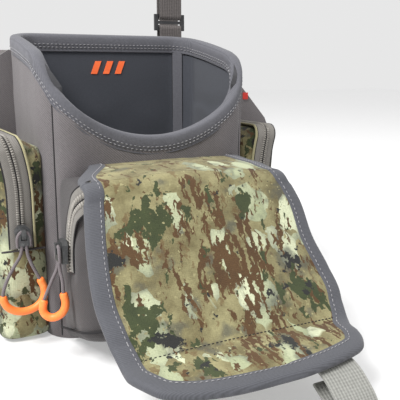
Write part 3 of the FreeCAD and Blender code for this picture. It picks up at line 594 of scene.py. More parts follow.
def make_cord(side):
    """A pull's cord loop as one smooth curve, with the rubber sleeve round its lower bend."""
    foot, route, length, (sleeve_from, sleeve_to) = CORDS[side]
    data = bpy.data.curves.new(side + "_cord_loop", "CURVE")
    data.dimensions = "3D"
    spline = data.splines.new("NURBS")
    spline.points.add(len(route) - 1)
    for control, offset in zip(spline.points, route):
        control.co = (*((Vector(foot) + Vector(offset)) * MM), 1.0)
    spline.order_u = 3
    spline.use_endpoint_u = True
    spline.resolution_u = 12
    cord = bpy.data.objects.new(side + "_cord_loop", data)
    bpy.context.scene.collection.objects.link(cord)
    line = bpy.data.meshes.new_from_object(cord)
    followed = evenly([vertex.co / MM for vertex in line.vertices], 0.8)
    data.bevel_depth = CORD / 2 * MM
    data.bevel_resolution = 4
    data.materials.append(CORD_BRAID)
    dress(cord, side + "_pull", "pull_cord", side + "_pull_cord")

    hitch = []
    for part in range(13):
        angle = math.pi * (1 - part / 12)
        bow = Vector((4.2 * math.cos(angle), -0.2, 3.5 + 6.0 * math.sin(angle)))
        hitch.append(Vector(foot) + turned(side, bow))
    hitch = [hitch[0] + Vector((0, 0, -4.0))] + hitch + [hitch[-1] + Vector((0, 0, -4.0))]
    hitch = round_tube(side + "_cord_hitch", hitch, CORD / 2, CORD_BRAID, 12)
    dress(hitch, side + "_pull", "pull_cord")

    covered = followed[round(len(followed) * sleeve_from):round(len(followed) * sleeve_to)]
    sleeve = round_tube(side + "_rubber_sleeve", covered, SLEEVE / 2, RUBBER, 20)
    dress(sleeve, side + "_pull", "orange_rubber", side + "_pull_sleeve")


# ---------------------------------------------------------------- main compartment

STRAIGHT_X, STRAIGHT_Y = HALF_X - CORNER, HALF_Y - CORNER
QUARTER = CORNER * math.pi / 2
# Walks counter-clockwise from the front's middle: straight half, corner, side, corner, back ...
RUNS = [STRAIGHT_X, QUARTER, 2 * STRAIGHT_Y, QUARTER, 2 * STRAIGHT_X]
RUNS += [QUARTER, 2 * STRAIGHT_Y, QUARTER, STRAIGHT_X]
PERIMETER = sum(RUNS)


def plan(distance, outset=0.0):
    """The compartment's outline this far round, moved outwards: (x, y) and its outward normal."""
    distance %= PERIMETER
    x, y, angle = 0.0, -HALF_Y, 0.0
    for index, run in enumerate(RUNS):
        part = min(distance, run)
        if index % 2 == 0:
            x += part * math.cos(angle)
            y += part * math.sin(angle)
        else:
            turn = part / CORNER
            x += CORNER * (math.sin(angle + turn) - math.sin(angle))
            y += CORNER * (math.cos(angle) - math.cos(angle + turn))
            angle += turn
        distance -= part
        if distance <= 0:
            break
    normal = Vector((math.sin(angle), -math.cos(angle), 0.0))
    return Vector((x, y, 0.0)) + normal * outset, normal


def arc_height(y, low, middle, high):
    """The height at y of the upper arc through three (y, z) points."""
    (ay, az), (by, bz), (cy, cz) = low, middle, high
    doubled = 2 * (ay * (bz - cz) + by * (cz - az) + cy * (az - bz))
    squares = [ay * ay + az * az, by * by + bz * bz, cy * cy + cz * cz]
    centre_y = (squares[0] * (bz - cz) + squares[1] * (cz - az) + squares[2] * (az - bz)) / doubled
    centre_z = (squares[0] * (cy - by) + squares[1] * (ay - cy) + squares[2] * (by - ay)) / doubled
    radius = math.hypot(ay - centre_y, az - centre_z)
    return centre_z + math.sqrt(max(0.0, radius ** 2 - (y - centre_y) ** 2))


RIM_START = -HALF_Y + SEAM
RIM_LOW = ((RIM_START, DIP_LOW + 35.0), (RIM_START + 7.5, DIP_LOW + 48.5), (RIM_START + 22.0, DIP_LOW + 57.5))
RIM_HIGH = (RIM_LOW[2], (15.0, 201.5), (HALF_Y + CORNER, 209.0))


def rim_height(point):
    """The height of the rim over a point of the outline."""
    if point.y < RIM_START:
        return DIP_LOW + DIP_RADIUS - math.sqrt(DIP_RADIUS ** 2 - point.x ** 2)
    if point.y < RIM_LOW[2][0]:
        return arc_height(point.y, *RIM_LOW)
    return arc_height(point.y, *RIM_HIGH)


def wrinkle(point, size, seed):
    """A soft cloth undulation at a point, from -1 to 1."""
    return noise.noise(Vector((point.x / size, point.y / size, point.z / size + seed)))


SEAMS = [STRAIGHT_X + QUARTER / 2]
SEAMS.append(SEAMS[0] + QUARTER + 2 * STRAIGHT_Y)
SEAMS.append(SEAMS[1] + QUARTER + 2 * STRAIGHT_X)
SEAMS.append(SEAMS[2] + QUARTER + 2 * STRAIGHT_Y)


def make_panel(name, start, end):
    """One wall of the shell between two upright seams, swelling a little between them."""
    columns, rows = round((end - start) / 3.0) + 1, 46
    outer, inner = [], []
    for row in range(rows):
        rise = row / (rows - 1)
        outer.append([])
        inner.append([])
        for column in range(columns):
            distance = start + (end - start) * column / (columns - 1)
            flat, normal = plan(distance)
            top = rim_height(flat) - 1.2
            flat.z = 1.6 + (top - 1.6) * rise
            from_seam = min(distance - start, end - distance)
            lift = ease(from_seam / 3.5) * ease((flat.z - 1.6) / 5.0)
            swell = 1.0 + 0.8 * wrinkle(flat, 34.0, 3.1) + 0.35 * wrinkle(flat, 12.0, 9.4)
            outer[-1].append(flat + normal * (0.1 + max(0.0, swell) * lift))
            inner[-1].append(flat - normal * (FOAM_OUT - 0.05))
    points, faces = slab(outer, inner)
    wall = piece_from(name, points, faces, SHELL)
    dress(wall, "pack", "shell_fabric", name.replace("_wall", "_panel"))


def make_shell():
    """The four fabric walls."""
    make_panel("front_wall", SEAMS[3] - PERIMETER, SEAMS[0])
    make_panel("right_side_wall", SEAMS[0], SEAMS[1])
    make_panel("back_wall", SEAMS[1], SEAMS[2])
    make_panel("left_side_wall", SEAMS[2], SEAMS[3])


def make_wall_seams():
    """The upright seams: a dark cord outside where panels meet, topstitching whose darkness also paints the
    shade in the seam's groove, and a bound edge inside the back corners.
    """
    for number, distance in enumerate(SEAMS):
        top = rim_height(plan(distance)[0]) - 12.0
        route = []
        for part in range(41):
            spot, normal = plan(distance, 0.15)
            spot.z = 2.0 + (top - 2.0) * part / 40
            route.append(spot)
        # A near-black cord in the groove: topstitch thread and painted groove shade.
        line = round_tube("wall_seam_%d" % number, route, 0.5, DARK_THREAD_AND_SHADE, 6)
        dress(line, "pack", "shell_fabric")
    for number, distance in enumerate((SEAMS[1] + 6.0, SEAMS[2] - 6.0)):
        path = []
        for part in range(30):
            spot, normal = plan(distance, -WALL - 0.2)
            spot.z = 60.0 + (rim_height(spot) - 70.0) * part / 29
            path.append((spot, -normal))
        edge = ribbon("inner_seam_%d" % number, path, 8.0, 1.4, BAND_CLOTH)
        dress(edge, "pack", "binding_tape")
        for side in (-4.2, 4.2):
            name = "inner_seam_%d_line_%d" % (number, 1 if side > 0 else 0)
            dress(round_tube(name, beside(path, side, 0.2), 0.45, DARK_THREAD_AND_SHADE, 6), "pack", "binding_tape")


def make_lining():
    """The dark cloth inside: its walls and its floor."""
    columns, rows = round(PERIMETER / 4.0), 34
    outer, inner = [], []
    for row in range(rows):
        rise = row / (rows - 1)
        outer.append([])
        inner.append([])
        for column in range(columns):
            flat, normal = plan(PERIMETER * column / columns)
            top = rim_height(flat) - 1.2
            flat.z = FLOOR + (top - FLOOR) * rise
            slack = max(0.0, 0.5 + wrinkle(flat, 26.0, 5.5)) * 1.3 * ease((165.0 - flat.z) / 30.0)
            outer[-1].append(flat - normal * (FOAM_IN + 0.05))
            inner[-1].append(flat - normal * (WALL + slack))
    points, faces = slab(outer, inner, ring=True)
    half = rows * columns
    bottom = [half + column for column in range(columns)]
    faces = [face for face in faces if not (set(face) <= set(range(columns)) | set(bottom))]
    faces.append(tuple(range(columns)))
    lift = len(points)
    for column in bottom:
        points.append(points[column] + Vector((0, 0, 0.8)))
    faces.append(tuple(range(lift, lift + columns)))
    for column in range(columns):
        beside = (column + 1) % columns
        faces.append((half + column, half + beside, lift + beside, lift + column))
    lining = piece_from("lining_cloth", points, faces, LINING_CLOTH)
    dress(lining, "pack", "lining_fabric", "lining")


# The band's section: (distance out from the wall's face, drop below the rim)
BAND_SECTION = [
    (0.2, 13.0), (1.3, 12.7), (1.5, 12.0), (1.0, 11.2), (1.7, 9.5), (2.0, 6.0), (1.9, 2.4), (1.3, 0.6),
    (0.0, -0.3), (-2.5, -0.7), (-5.0, -0.3), (-6.3, 0.7), (-6.9, 2.6), (-7.0, 6.0), (-6.7, 9.5),
    (-6.0, 11.2), (-6.5, 12.2),
    (-6.2, 12.9), (-5.1, 13.0), (-5.1, 6.0), (-5.1, -0.05), (-2.5, -0.05), (0.1, -0.05), (0.1, 6.0),
]


def rim_point(distance, out, drop):
    """A point on the rim band and the wall's outward normal there."""
    flat, normal = plan(distance)
    height = rim_height(flat) - drop
    spot = flat + normal * out
    spot.z = height
    return spot, normal


def make_rim():
    """The bound rim with its twin rows of stitches inside and out."""
    sections = []
    count = round(PERIMETER / 2.5)
    for index in range(count):
        distance = PERIMETER * index / count
        flat, _ = plan(distance)
        puff = 1 + 0.25 * wrinkle(flat, 9.0, 2.2)
        section = []
        for out, drop in BAND_SECTION:
            proud = out * puff if out > 0.5 else out
            section.append(rim_point(distance, proud, drop)[0])
        sections.append(section)
    points, faces = skin(sections, closed=True)
    band = piece_from("rim_band_cloth", points, faces, BAND_CLOTH, sharp=70.0)
    dress(band, "pack", "binding_tape", "rim_band")
    for number, (drop, out) in enumerate(((9.6, 1.75), (7.4, 1.95), (9.6, -6.75), (7.4, -6.95))):
        sign = 1 if out > 0 else -1
        spots = []
        for index in range(count + 1):
            spot, normal = rim_point(PERIMETER * index / count, out, drop)
            spots.append((spot, normal * sign))
        row = stitch_row("rim_stitches_%d" % number, spots, THREAD, 3.2, 2.0, 0.27)
        dress(row, "pack", "binding_tape")


# ---------------------------------------------------------------- padded pieces

def bevelled(name, width):
    """Rounds the edges of a CAD node where it stands."""
    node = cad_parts[name]
    bevel = node.modifiers.new("soft_edges", "BEVEL")
    bevel.width = width * MM
    bevel.segments = 2
    bevel.limit_method = "ANGLE"
    bevel.angle_limit = math.radians(35)
    return node


def puff(piece, voxel, cap, allowed):
    """Swells a closed form as stuffed cloth; allowed(point) is each point's share of cap."""
    remesh = piece.modifiers.new("even", "REMESH")
    remesh.mode = "VOXEL"
    remesh.voxel_size = voxel * MM
    apply_all(piece)
    before = [vertex.co.copy() for vertex in piece.data.vertices]
    cloth = piece.modifiers.new("cloth", "CLOTH")
    cloth.settings.use_pressure = True
    cloth.settings.uniform_pressure_force = 4.0
    cloth.settings.effector_weights.gravity = 0.0
    cloth.settings.quality = 5
    scene = bpy.context.scene
    for number in range(1, 21):
        scene.frame_set(number)
    apply_all(piece)
    for vertex, start in zip(piece.data.vertices, before):
        move = vertex.co - start
        limit = cap * MM * allowed(start / MM)
        if move.length > limit:
            vertex.co = start + move.normalized() * limit
    scene.frame_set(1)
    smooth = piece.modifiers.new("smooth", "SUBSURF")
    smooth.levels = 1
    smooth.render_levels = 1
    apply_all(piece)
    piece.data.shade_smooth()


def apply_all(piece):
    """Turns the piece's modifiers into plain mesh."""
    graph = bpy.context.evaluated_depsgraph_get()
    graph.update()
    evaluated = bpy.data.meshes.new_from_object(piece.evaluated_get(graph))
    material = piece.data.materials[0]
    piece.modifiers.clear()
    piece.data = evaluated
    if not piece.data.materials:
        piece.data.materials.append(material)


def zip_x(z):
    """How far out a side zip runs at this height."""
    return ZIP_X + DRIFT * (max(0.0, z - DRIFT_FROM) / (POCKET_TOP - DRIFT_FROM)) ** 2


def arch(inset, sign, x):
    """The side pocket's outline at x, moved inwards; its top slopes down to the wall."""
    radius = ARCH - min(inset, 4.0)
    slope = 6.5 * ease((92.0 - x) / 16.0)
    front, back, top, low = POCKET_FRONT + inset, POCKET_BACK - inset, POCKET_TOP - inset - slope, 0.8
    rise = top - radius - low
    outline = [Vector((sign * x, front, low + rise * part / 10)) for part in range(10)]
    for part in range(9):
        angle = math.pi / 2 * part / 8
        across, up = radius * math.cos(angle), radius * math.sin(angle)
        outline.append(Vector((sign * x, front + radius - across, top - radius + up)))
    flat = back - front - 2 * radius
    outline += [Vector((sign * x, front + radius + flat * part / 4, top)) for part in (1, 2, 3)]
    for part in range(9):
        angle = math.pi / 2 * part / 8
        across, up = radius * math.sin(angle), radius * math.cos(angle)
        outline.append(Vector((sign * x, back - radius + across, top - radius + up)))
    outline += [Vector((sign * x, back, top - radius - rise * part / 10)) for part in range(1, 11)]
    return outline


def make_side_pocket(side, sign):
    """A stuffed camouflage pocket with its seams."""
    shape = [(POCKET_X, 0.8), (80.0, 0.8), (84.0, 0.8), (88.0, 0.8), (93.0, 0.8), (101.0, 0.9), (105.0, 2.0)]
    shape += [(107.6, 4.4), (108.6, 8.0)]
    points, faces = skin([arch(inset, sign, x) for x, inset in shape])
    pocket = piece_from(side + "_pocket_cloth", points, faces, CAMO)

    def allowed(point):
        attached = ease((abs(point.x) - POCKET_X - 1.5) / 8.0)
        beside_zip = ease((abs(abs(point.x) - zip_x(point.z)) - 7.0) / 5.0)
        seam = 0.2 + 0.8 * ease(abs(point.z - 65.0) / 7.0)
        on_face = ease((abs(point.x) - 104.0) / 3.0)
        above_floor = ease((point.z - 1.0) / 4.0)
        return attached * above_floor * max(on_face, beside_zip * seam + 0.08)

    puff(pocket, 4.5, 5.0, allowed)
    dress(pocket, "pack", "camo_fabric", side + "_pocket")
    across = [(sign * x, POCKET_FRONT - 0.1, 64.6) for x in (77.5, 92.0, 106.0)]
    joint = evenly(rounded_route(across, 0.3), 2.0)
    # The seam bead wears the shell's cloth darkened as painted shade.
    seam = round_tube(side + "_pocket_seam", joint, 0.7, SHELL_PAINTED_SHADE, 8)
    dress(seam, "pack", "shell_fabric")


def front_outline(outset, z):
    """The front pocket's plan: left wall, rounded front corners, right wall."""
    half, face, radius = FRONT_HALF + outset, FRONT_FACE - outset, FRONT_ROUND
    outline = [Vector((-half, -51.0 + (face + radius + 51.0) * part / 8, z)) for part in range(8)]
    for part in range(9):
        angle = math.pi / 2 * part / 8
        outline.append(
            Vector((-half + radius - radius * math.cos(angle), face + radius - radius * math.sin(angle), z))
        )
    outline += [Vector((-half + radius + (half - radius) * 2 * part / 12, face, z)) for part in range(1, 12)]
    for part in range(9):
        angle = math.pi / 2 * part / 8
        outline.append(
            Vector((half - radius + radius * math.sin(angle), face + radius - radius * math.cos(angle), z))
        )
    outline += [Vector((half, face + radius + (-51.0 - face - radius) * part / 8, z)) for part in range(1, 9)]
    return outline


def raised(point):
    """A point of the front pocket lifted so that its underside rises towards the front."""
    forward = max(0.0, -51.0 - point.y) / (-51.0 - FRONT_FACE)
    return point + Vector((0, 0, FRONT_SLOPE * forward * (1 - point.z / FRONT_TOP)))


def make_front_pocket():
    """The gusseted front pocket, whose underside rises to the front, and its lower seam, a dark tube that
    also paints the shade of the fold there.
    """
    # Each section: (height, distance outside the CAD's outline)
    heights = [(2.2, -7.0), (3.4, -4.0), (6.5, -1.8), (12.0, -0.8)]
    heights += [(24.0 + 12.0 * index, -0.8) for index in range(7)]
    heights += [(106.0, -0.9), (110.5, -2.0), (112.8, -5.0)]
    points, faces = skin([[raised(point) for point in front_outline(outset, z)] for z, outset in heights])
    # The pocket wears the shell's cloth darkened as painted shade.
    pocket = piece_from("front_pocket_gusset", points, faces, SHELL_PAINTED_SHADE)

    def allowed(point):
        attached = ease((-53.0 - point.y) / 8.0)
        from_zip = abs(math.hypot(point.y - ZIP_CENTRE[0], point.z - ZIP_CENTRE[1]) - ZIP_RADIUS)
        on_gusset = point.x < -FRONT_HALF + 12.0 and point.z > 52.0
        beside_zip = ease((from_zip - 7.0) / 4.0) if on_gusset else 1.0
        from_seam = abs(point.z - raised(Vector((point.x, point.y, FRONT_SEAM))).z)
        beside_seam = 0.15 + 0.85 * ease(from_seam / 7.0)
        below_top, above_foot = ease((112.0 - point.z) / 5.0), ease((point.z - 2.4) / 6.0)
        return attached * beside_zip * beside_seam * below_top * above_foot

    puff(pocket, 4.5, 4.0, allowed)
    dress(pocket, "pack", "shell_fabric", "front_pocket")
    # The seam is a near-black tube: the seam and painted shade along the fold.
    joint = [raised(point) for point in front_outline(-0.6, FRONT_SEAM)]
    seam = round_tube("front_pocket_seam_shade", evenly(joint, 2.0), 0.8, DARK_THREAD_AND_SHADE, 8)
    dress(seam, "pack", "shell_fabric")


def make_pads():
    """The mesh back pad and the yoke pad, each with quilted channels."""
    for name, node, half_x, low, high, y, depth, corner in (
        ("back_pad_mesh", "back_pad", 44.0, 18.0, 174.0, 50.8, 5.4, 14.0),
        ("yoke_pad_mesh", "yoke_pad", 84.0, 0.2, 124.0, 163.2, 7.6, 18.0),
    ):
        sections = []
        for part, inset in ((0.0, 1.6), (0.25, 0.5), (0.75, 0.5), (1.0, 1.6)):
            sections.append(pad_outline(half_x - inset, low + inset, high - inset, corner, y + depth * part))
        points, faces = skin(sections)
        pad = piece_from(name, points, faces, MESH_CLOTH)
        puff(pad, 4.0, 2.0, lambda point: 0.2 + 0.8 * abs(math.sin(math.pi * point.z / 31.0)))
        dress(pad, "pack", "mesh_fabric", node)
        hem = evenly(pad_outline(half_x - 0.6, low + 0.8, high - 0.6, corner, y + depth / 2), 2.0)
        edge = round_tube(name + "_hem", hem + hem[:1], 1.9, BAND_CLOTH, 8, blunt=False)
        dress(edge, "pack", "binding_tape")


def pad_outline(half_x, low, high, corner, y):
    """A closed rounded rectangle in the plane of this y."""
    middle_z, half_z = (low + high) / 2, (high - low) / 2
    outline = []
    for sign_x, sign_z, start in ((1, 1, 0), (-1, 1, 90), (-1, -1, 180), (1, -1, 270)):
        for part in range(7):
            angle = math.radians(start + 15 * part)
            outline.append(
                Vector(
                    (
                        sign_x * (half_x - corner) + corner * math.cos(angle),
                        y,
                        middle_z + sign_z * (half_z - corner) + corner * math.sin(angle),
                    )
                )
            )
    return outline


# ---------------------------------------------------------------- zips

def side_zip_path(sign):
    """The side pocket's zip: up the front, over the arch and down the back, as (point, normal)."""
    bend = POCKET_TOP - ARCH
    flat = [(POCKET_FRONT, z, 180.0) for z in range(round(ZIP_LOW), round(bend), 2)]
    for centre, start in ((POCKET_FRONT + ARCH, 180.0), (POCKET_BACK - ARCH, 90.0)):
        for part in range(9):
            angle = start - 90.0 * part / 8
            y = centre + ARCH * math.cos(math.radians(angle))
            flat.append((y, bend + ARCH * math.sin(math.radians(angle)), angle))
    flat += [(POCKET_BACK, z, 0.0) for z in range(round(bend) - 2, round(ZIP_LOW) + 20, -2)]
    path = []
    for y, z, angle in flat:
        normal = Vector((0, math.cos(math.radians(angle)), math.sin(math.radians(angle))))
        path.append((Vector((sign * zip_x(z), y, z)), normal))
    return path


def front_zip_path():
    """The front pocket's zip: an arc on the left gusset that wraps on to the rounded corner."""
    path = []
    flat_end = FRONT_FACE + FRONT_ROUND
    for part in range(40):
        angle = math.radians(-8 + 76 * part / 39)
        y = ZIP_CENTRE[0] + ZIP_RADIUS * math.cos(angle)
        z = ZIP_CENTRE[1] + ZIP_RADIUS * math.sin(angle)
        turn = max(0.0, flat_end - y) / FRONT_ROUND
        normal = Vector((-math.cos(turn), -math.sin(turn), 0.0))
        centre = Vector((-FRONT_HALF + FRONT_ROUND, max(y, flat_end), z))
        path.append((centre + normal * FRONT_ROUND, normal))
    return path


def ribbon(name, path, width, thickness, material):
    """A flat woven strip laid along a path."""
    sections = []
    for index, (point, normal) in enumerate(path):
        ahead = path[min(index + 1, len(path) - 1)][0] - path[max(index - 1, 0)][0]
        across = ahead.cross(normal).normalized()
        half = width / 2
        profile = [(-half, 0.05), (-half, 0.5), (-half + 0.5, 0.95), (-4.0, 1.0)]
        profile += [(-side, lift) for side, lift in reversed(profile)]
        sections.append([point + across * side + normal * (thickness * lift) for side, lift in profile])
    points, faces = skin(sections)
    return piece_from(name, points, faces, material)


def beside(path, offset, lift):
    """The same path moved sideways on its surface, and off it."""
    moved = []
    for index, (point, normal) in enumerate(path):
        ahead = path[min(index + 1, len(path) - 1)][0] - path[max(index - 1, 0)][0]
        moved.append(point + ahead.cross(normal).normalized() * offset + normal * lift)
    return moved


def teeth(name, path, lift, size, material):
    """Two rows of zip teeth along a path."""
    route = [point for point, _ in path]
    middles = evenly(route, 1.55 * size)
    points, faces = [], []
    nearest = 0
    for here, following in zip(middles, middles[1:]):
        while nearest < len(route) - 2:
            if (route[nearest + 1] - here).length >= (route[nearest] - here).length:
                break
            nearest += 1
        normal = path[nearest][1]
        along = (following - here).normalized()
        across = along.cross(normal)
        for row in (-1, 1):
            middle = here + along * (0.39 * size * row) + across * (1.45 * size * row) + normal * lift
            add_tooth(points, faces, middle, across * size, along * size, normal)
    return piece_from(name, points, faces, material, sharp=80.0)


def add_tooth(points, faces, middle, across, along, up):
    """One tooth: a low rounded bar across the chain."""
    start = len(points)
    for place, size in ((-1.0, 0.5), (-0.7, 1.0), (0.7, 1.0), (1.0, 0.5)):
        for side, height in ((-0.5, 0.0), (-0.36, 0.75), (0.36, 0.75), (0.5, 0.0)):
            points.append(middle + across * place + along * (side * size) + up * (height * size))
    for ring in range(3):
        for side in range(4):
            first = start + ring * 4 + side
            second = start + ring * 4 + (side + 1) % 4
            faces.append((first, second, second + 4, first + 4))
    faces.append((start, start + 1, start + 2, start + 3))
    faces.append((start + 12, start + 13, start + 14, start + 15))


def make_zips():
    """Tapes, teeth and edges of the three zips, with dark lines painting the shade in the chain's middle and
    along the tapes' creases, and the finish of their sliders and pullers.
    """
    paths = {
        "left": (side_zip_path(-1), TAPE_WIDTH, 1.0),
        "right": (side_zip_path(1), TAPE_WIDTH, 1.0),
        "front": (front_zip_path(), FRONT_TAPE, 1.4),
    }
    for side, (path, width, size) in paths.items():
        tape = ribbon(side + "_zip_ribbon", path, width, TAPE, TAPE_CLOTH)
        dress(tape, "pack", "zip_tape", side + "_zip_tape")
        chain = teeth(side + "_zip_teeth", path, TAPE, size, TEETH)
        dress(chain, "pack", "zip_coil", side + "_zip_coil")
        # A near-black tube down the chain's middle: painted shade in the gap between the rows of teeth.
        chain_shade = round_tube(side + "_zip_chain_shade", beside(path, 0.0, TAPE), 0.38, DARK_THREAD_AND_SHADE, 6)
        dress(chain_shade, "pack", "zip_tape")
        # Near-black tubes along both tape edges: painted shade in the creases where the tape meets the cloth.
        for edge in (-1, 1):
            line = beside(path, edge * (width / 2 + 0.2), 0.3)
            crease = round_tube("%s_zip_crease_%d" % (side, edge + 1), line, 0.55, DARK_THREAD_AND_SHADE, 6)
            dress(crease, "pack", "zip_tape")
        inner = -1 if side == "left" else 1
        if side != "front":
            line = beside(path, -inner * (width / 2 + 1.3), 0.35)
            piping = round_tube(side + "_zip_piping", line, 0.95, PIPING, 8)
            dress(piping, "pack", "camo_fabric")
        for name in (side + "_slider", side + "_puller"):
            finish_node(name, SLIDER_PAINT, 0.45)


def finish_node(name, material, edge=0.0):
    """A CAD node keeps its shape and takes a finish."""
    node = bevelled(name, edge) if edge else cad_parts[name]
    node.data.materials.clear()
    node.data.materials.append(material)


# ---------------------------------------------------------------- lid

def lid_line(along):
    """The lid's middle line: its point and its upward normal, this far from the hinge."""
    corners = [Vector((0, *HINGE)), Vector((0, *FOLD)), Vector((0, *CREASE)), Vector((0, *LIP_END))]
    places = [0.0, FOLD_AT, CREASE_AT, LID_END]
    for index in (1, 2):
        bend = (FOLD_BEND, CREASE_BEND)[index - 1]
        if abs(along - places[index]) < bend:
            corner = corners[index]
            first = corner + (corners[index - 1] - corner).normalized() * bend
            last = corner + (corners[index + 1] - corner).normalized() * bend
            part = (along - places[index] + bend) / (2 * bend)
            point = first * (1 - part) ** 2 + corner * 2 * part * (1 - part) + last * part ** 2
            ahead = ((corner - first) * (1 - part) + (last - corner) * part).normalized()
            return point, Vector((0, ahead.z, -ahead.y))
    index = 0 if along < places[1] else 1 if along < places[2] else 2
    ahead = (corners[index + 1] - corners[index]).normalized()
    return corners[index] + ahead * (along - places[index]), Vector((0, ahead.z, -ahead.y))


# Edges of the lid as (x, distance from the hinge), and how far each edge and the middle
# sink below the flat lid, as (distance from the hinge, left, middle, right)
LID_LEFT = [
    (-50.0, 0.0), (-66.0, 28.0), (-71.5, 48.0), (-72.0, 62.0), (-74.0, 76.0), (-76.8, 97.0),
    (-78.6, 121.0), (-77.2, 142.0), (-74.4, 161.0), (-74.5, 172.0), (-69.8, 184.0), (-63.4, 192.0),
    (-48.7, 198.5), (-26.0, 202.0), (0.0, 203.0),
]
LID_RIGHT = [
    (64.0, 0.0), (63.0, 28.0), (63.0, 50.0), (68.0, 70.0), (71.5, 85.0), (72.5, 108.0), (76.2, 129.0),
    (76.8, 143.0), (73.0, 161.0), (67.5, 172.0), (65.5, 181.0), (60.7, 190.0), (54.0, 195.5), (38.0, 199.6),
    (14.0, 202.6), (0.0, 203.0),
]
LID_SINK = [
    (0.0, 1.0, 0.0, 1.0), (30.0, 2.6, -2.0, 2.6), (52.0, 2.6, -1.0, 4.5), (70.0, 9.0, 3.0, 9.5),
    (100.0, 10.0, 5.0, 9.5), (128.0, 9.5, 5.0, 8.0), (148.0, 6.0, 2.0, 5.0), (161.0, 2.0, 0.0, 2.0),
    (182.0, 0.0, -1.0, 0.0), (203.0, 0.0, -0.5, 0.0),
]
LID_TURN = 181.0
LID_PARTS = {
    "hinge": (-3.0, 5.0),
    "bridge": (5.0, 53.0),
    "fold": (53.0, 71.0),
    "panel": (71.0, 152.0),
    "crease": (152.0, 170.0),
    "lip": (170.0, None),
}


def through(points, steps=8):
    """A smooth curve through points (Catmull-Rom)."""
    ends = [points[0] * 2 - points[1]] + list(points) + [points[-1] * 2 - points[-2]]
    curve = []
    for a, b, c, d in zip(ends, ends[1:], ends[2:], ends[3:]):
        for index in range(steps):
            t = index / steps
            bow, twist = a * 2 - b * 5 + c * 4 - d, b * 3 - a - c * 3 + d
            curve.append((b * 2 + (c - a) * t + bow * t ** 2 + twist * t ** 3) / 2)
    curve.append(points[-1])
    return curve


def between(table, along):
    """Smoothly changing values from rows of (distance, values ...)."""
    for low, high in zip(table, table[1:]):
        if along <= high[0]:
            break
    part = ease((along - low[0]) / (high[0] - low[0]))
    return [first + (second - first) * part for first, second in zip(low[1:], high[1:])]


def lid_spot(x, along, left, right):
    """A point of the lid's middle surface, before its thickness."""
    point, normal = lid_line(along)
    low, middle, high = between(LID_SINK, max(0.0, along))
    u = min(1.0, max(0.0, (x - left) / max(1.0, right - left)))
    sink = low * (1 - u) * (1 - 2 * u) + middle * 4 * u * (1 - u) + high * u * (2 * u - 1)
    if along > 0:
        sink += 0.6 * noise.noise(Vector((x / 30.0, along / 30.0, 1.7))) * ease(along / 20.0)
    return point + Vector((x, 0, 0)) - normal * sink


def edge_rows():
    """Matching points down both edges of the lid: rows of (left, right) as flat (x, along) pairs."""
    left = through([Vector((x, along, 0)) for x, along in LID_LEFT])
    right = through([Vector((x, along, 0)) for x, along in LID_RIGHT])
    rows = []
    stops = sorted({round(stop, 2) for span in LID_PARTS.values() for stop in span if stop is not None})
    marks = set(stops)
    along = stops[0]
    while along < LID_TURN:
        marks.add(along)
        along += 2.6
    for along in sorted(marks):
        if along <= LID_TURN:
            rows.append((on_edge(left, along), on_edge(right, along)))
    tails = []
    for edge in (left, right):
        start = on_edge(edge, LID_TURN)
        tail = [start] + [point for point in edge if point.y > LID_TURN + 0.5]
        tails.append(evenly(tail, (sum((b - a).length for a, b in zip(tail, tail[1:]))) / 26))
    rows += list(zip(tails[0], tails[1]))[1:]
    return rows


def on_edge(edge, along):
    """Where an edge curve passes this distance from the hinge."""
    if along <= edge[0].y:
        return Vector((edge[0].x, along, 0))
    for low, high in zip(edge, edge[1:]):
        if low.y <= along <= high.y:
            return low.lerp(high, (along - low.y) / max(1e-6, high.y - low.y))
    return edge[-1].copy()


LID_ROWS = edge_rows()


def inward(index, side, distance):
    """A flat point this far inside the lid's edge at a row."""
    low, high = max(0, index - 1), min(len(LID_ROWS) - 1, index + 1)
    ahead = LID_ROWS[high][side] - LID_ROWS[low][side]
    if index == len(LID_ROWS) - 1:
        ahead = Vector((1.0, 0.0, 0)) if side == 0 else Vector((-1.0, 0.0, 0))
    turn = Vector((ahead.y, -ahead.x, 0)).normalized()
    if side == 1:
        turn = -turn
    return LID_ROWS[index][side] + turn * distance


def lid_grid(part, columns_at):
    """Flat points of a part of the lid, row by row, with each row's edges."""
    start, end = LID_PARTS[part]
    rows = []
    for index, (left, right) in enumerate(LID_ROWS):
        middle = (left.y + right.y) / 2
        if middle < start - 0.01 or (end is not None and middle > end + 0.01):
            continue
        flat = columns_at(index)
        rows.append((flat, left.x, right.x))
    return rows


def lid_solid(name, rows, half_at, material):
    """A closed piece of the lid: half_at(column) is half its thickness there."""
    middle, uv = [], []
    for flat, left, right in rows:
        middle.append([lid_spot(point.x, point.y, left, right) for point in flat])
        uv.append([(point.x, point.y) for point in flat])
    upper, lower = [], []
    count = len(middle[0])
    for row in range(len(middle)):
        upper.append([])
        lower.append([])
        for column in range(count):
            down = middle[min(row + 1, len(middle) - 1)][column] - middle[max(row - 1, 0)][column]
            over = middle[row][min(column + 1, count - 1)] - middle[row][max(column - 1, 0)]
            normal = over.cross(down)
            _, expected = lid_line(rows[row][0][column].y)
            normal = expected.copy() if normal.length < 1e-6 else normal.normalized()
            if normal.dot(expected) < 0:
                normal = -normal
            half = half_at(column)
            upper[-1].append(middle[row][column] + normal * half)
            lower[-1].append(middle[row][column] - normal * half)
    points, faces = slab(upper, lower)
    flat_uv = [pair for row in uv for pair in row]
    return piece_from(name, points, faces, material, flat_uv + flat_uv)


EDGE_STEPS = [0.0, 0.35, 1.0, 2.2, 5.0, 8.0, 10.3, 10.9, 11.2]
EDGE_HALF = [0.6, 1.5, 2.2, 2.7, 2.8, 2.75, 2.7, 2.4, 1.9]
COVER_COLUMNS = 44
COVER_HALF = 2.15


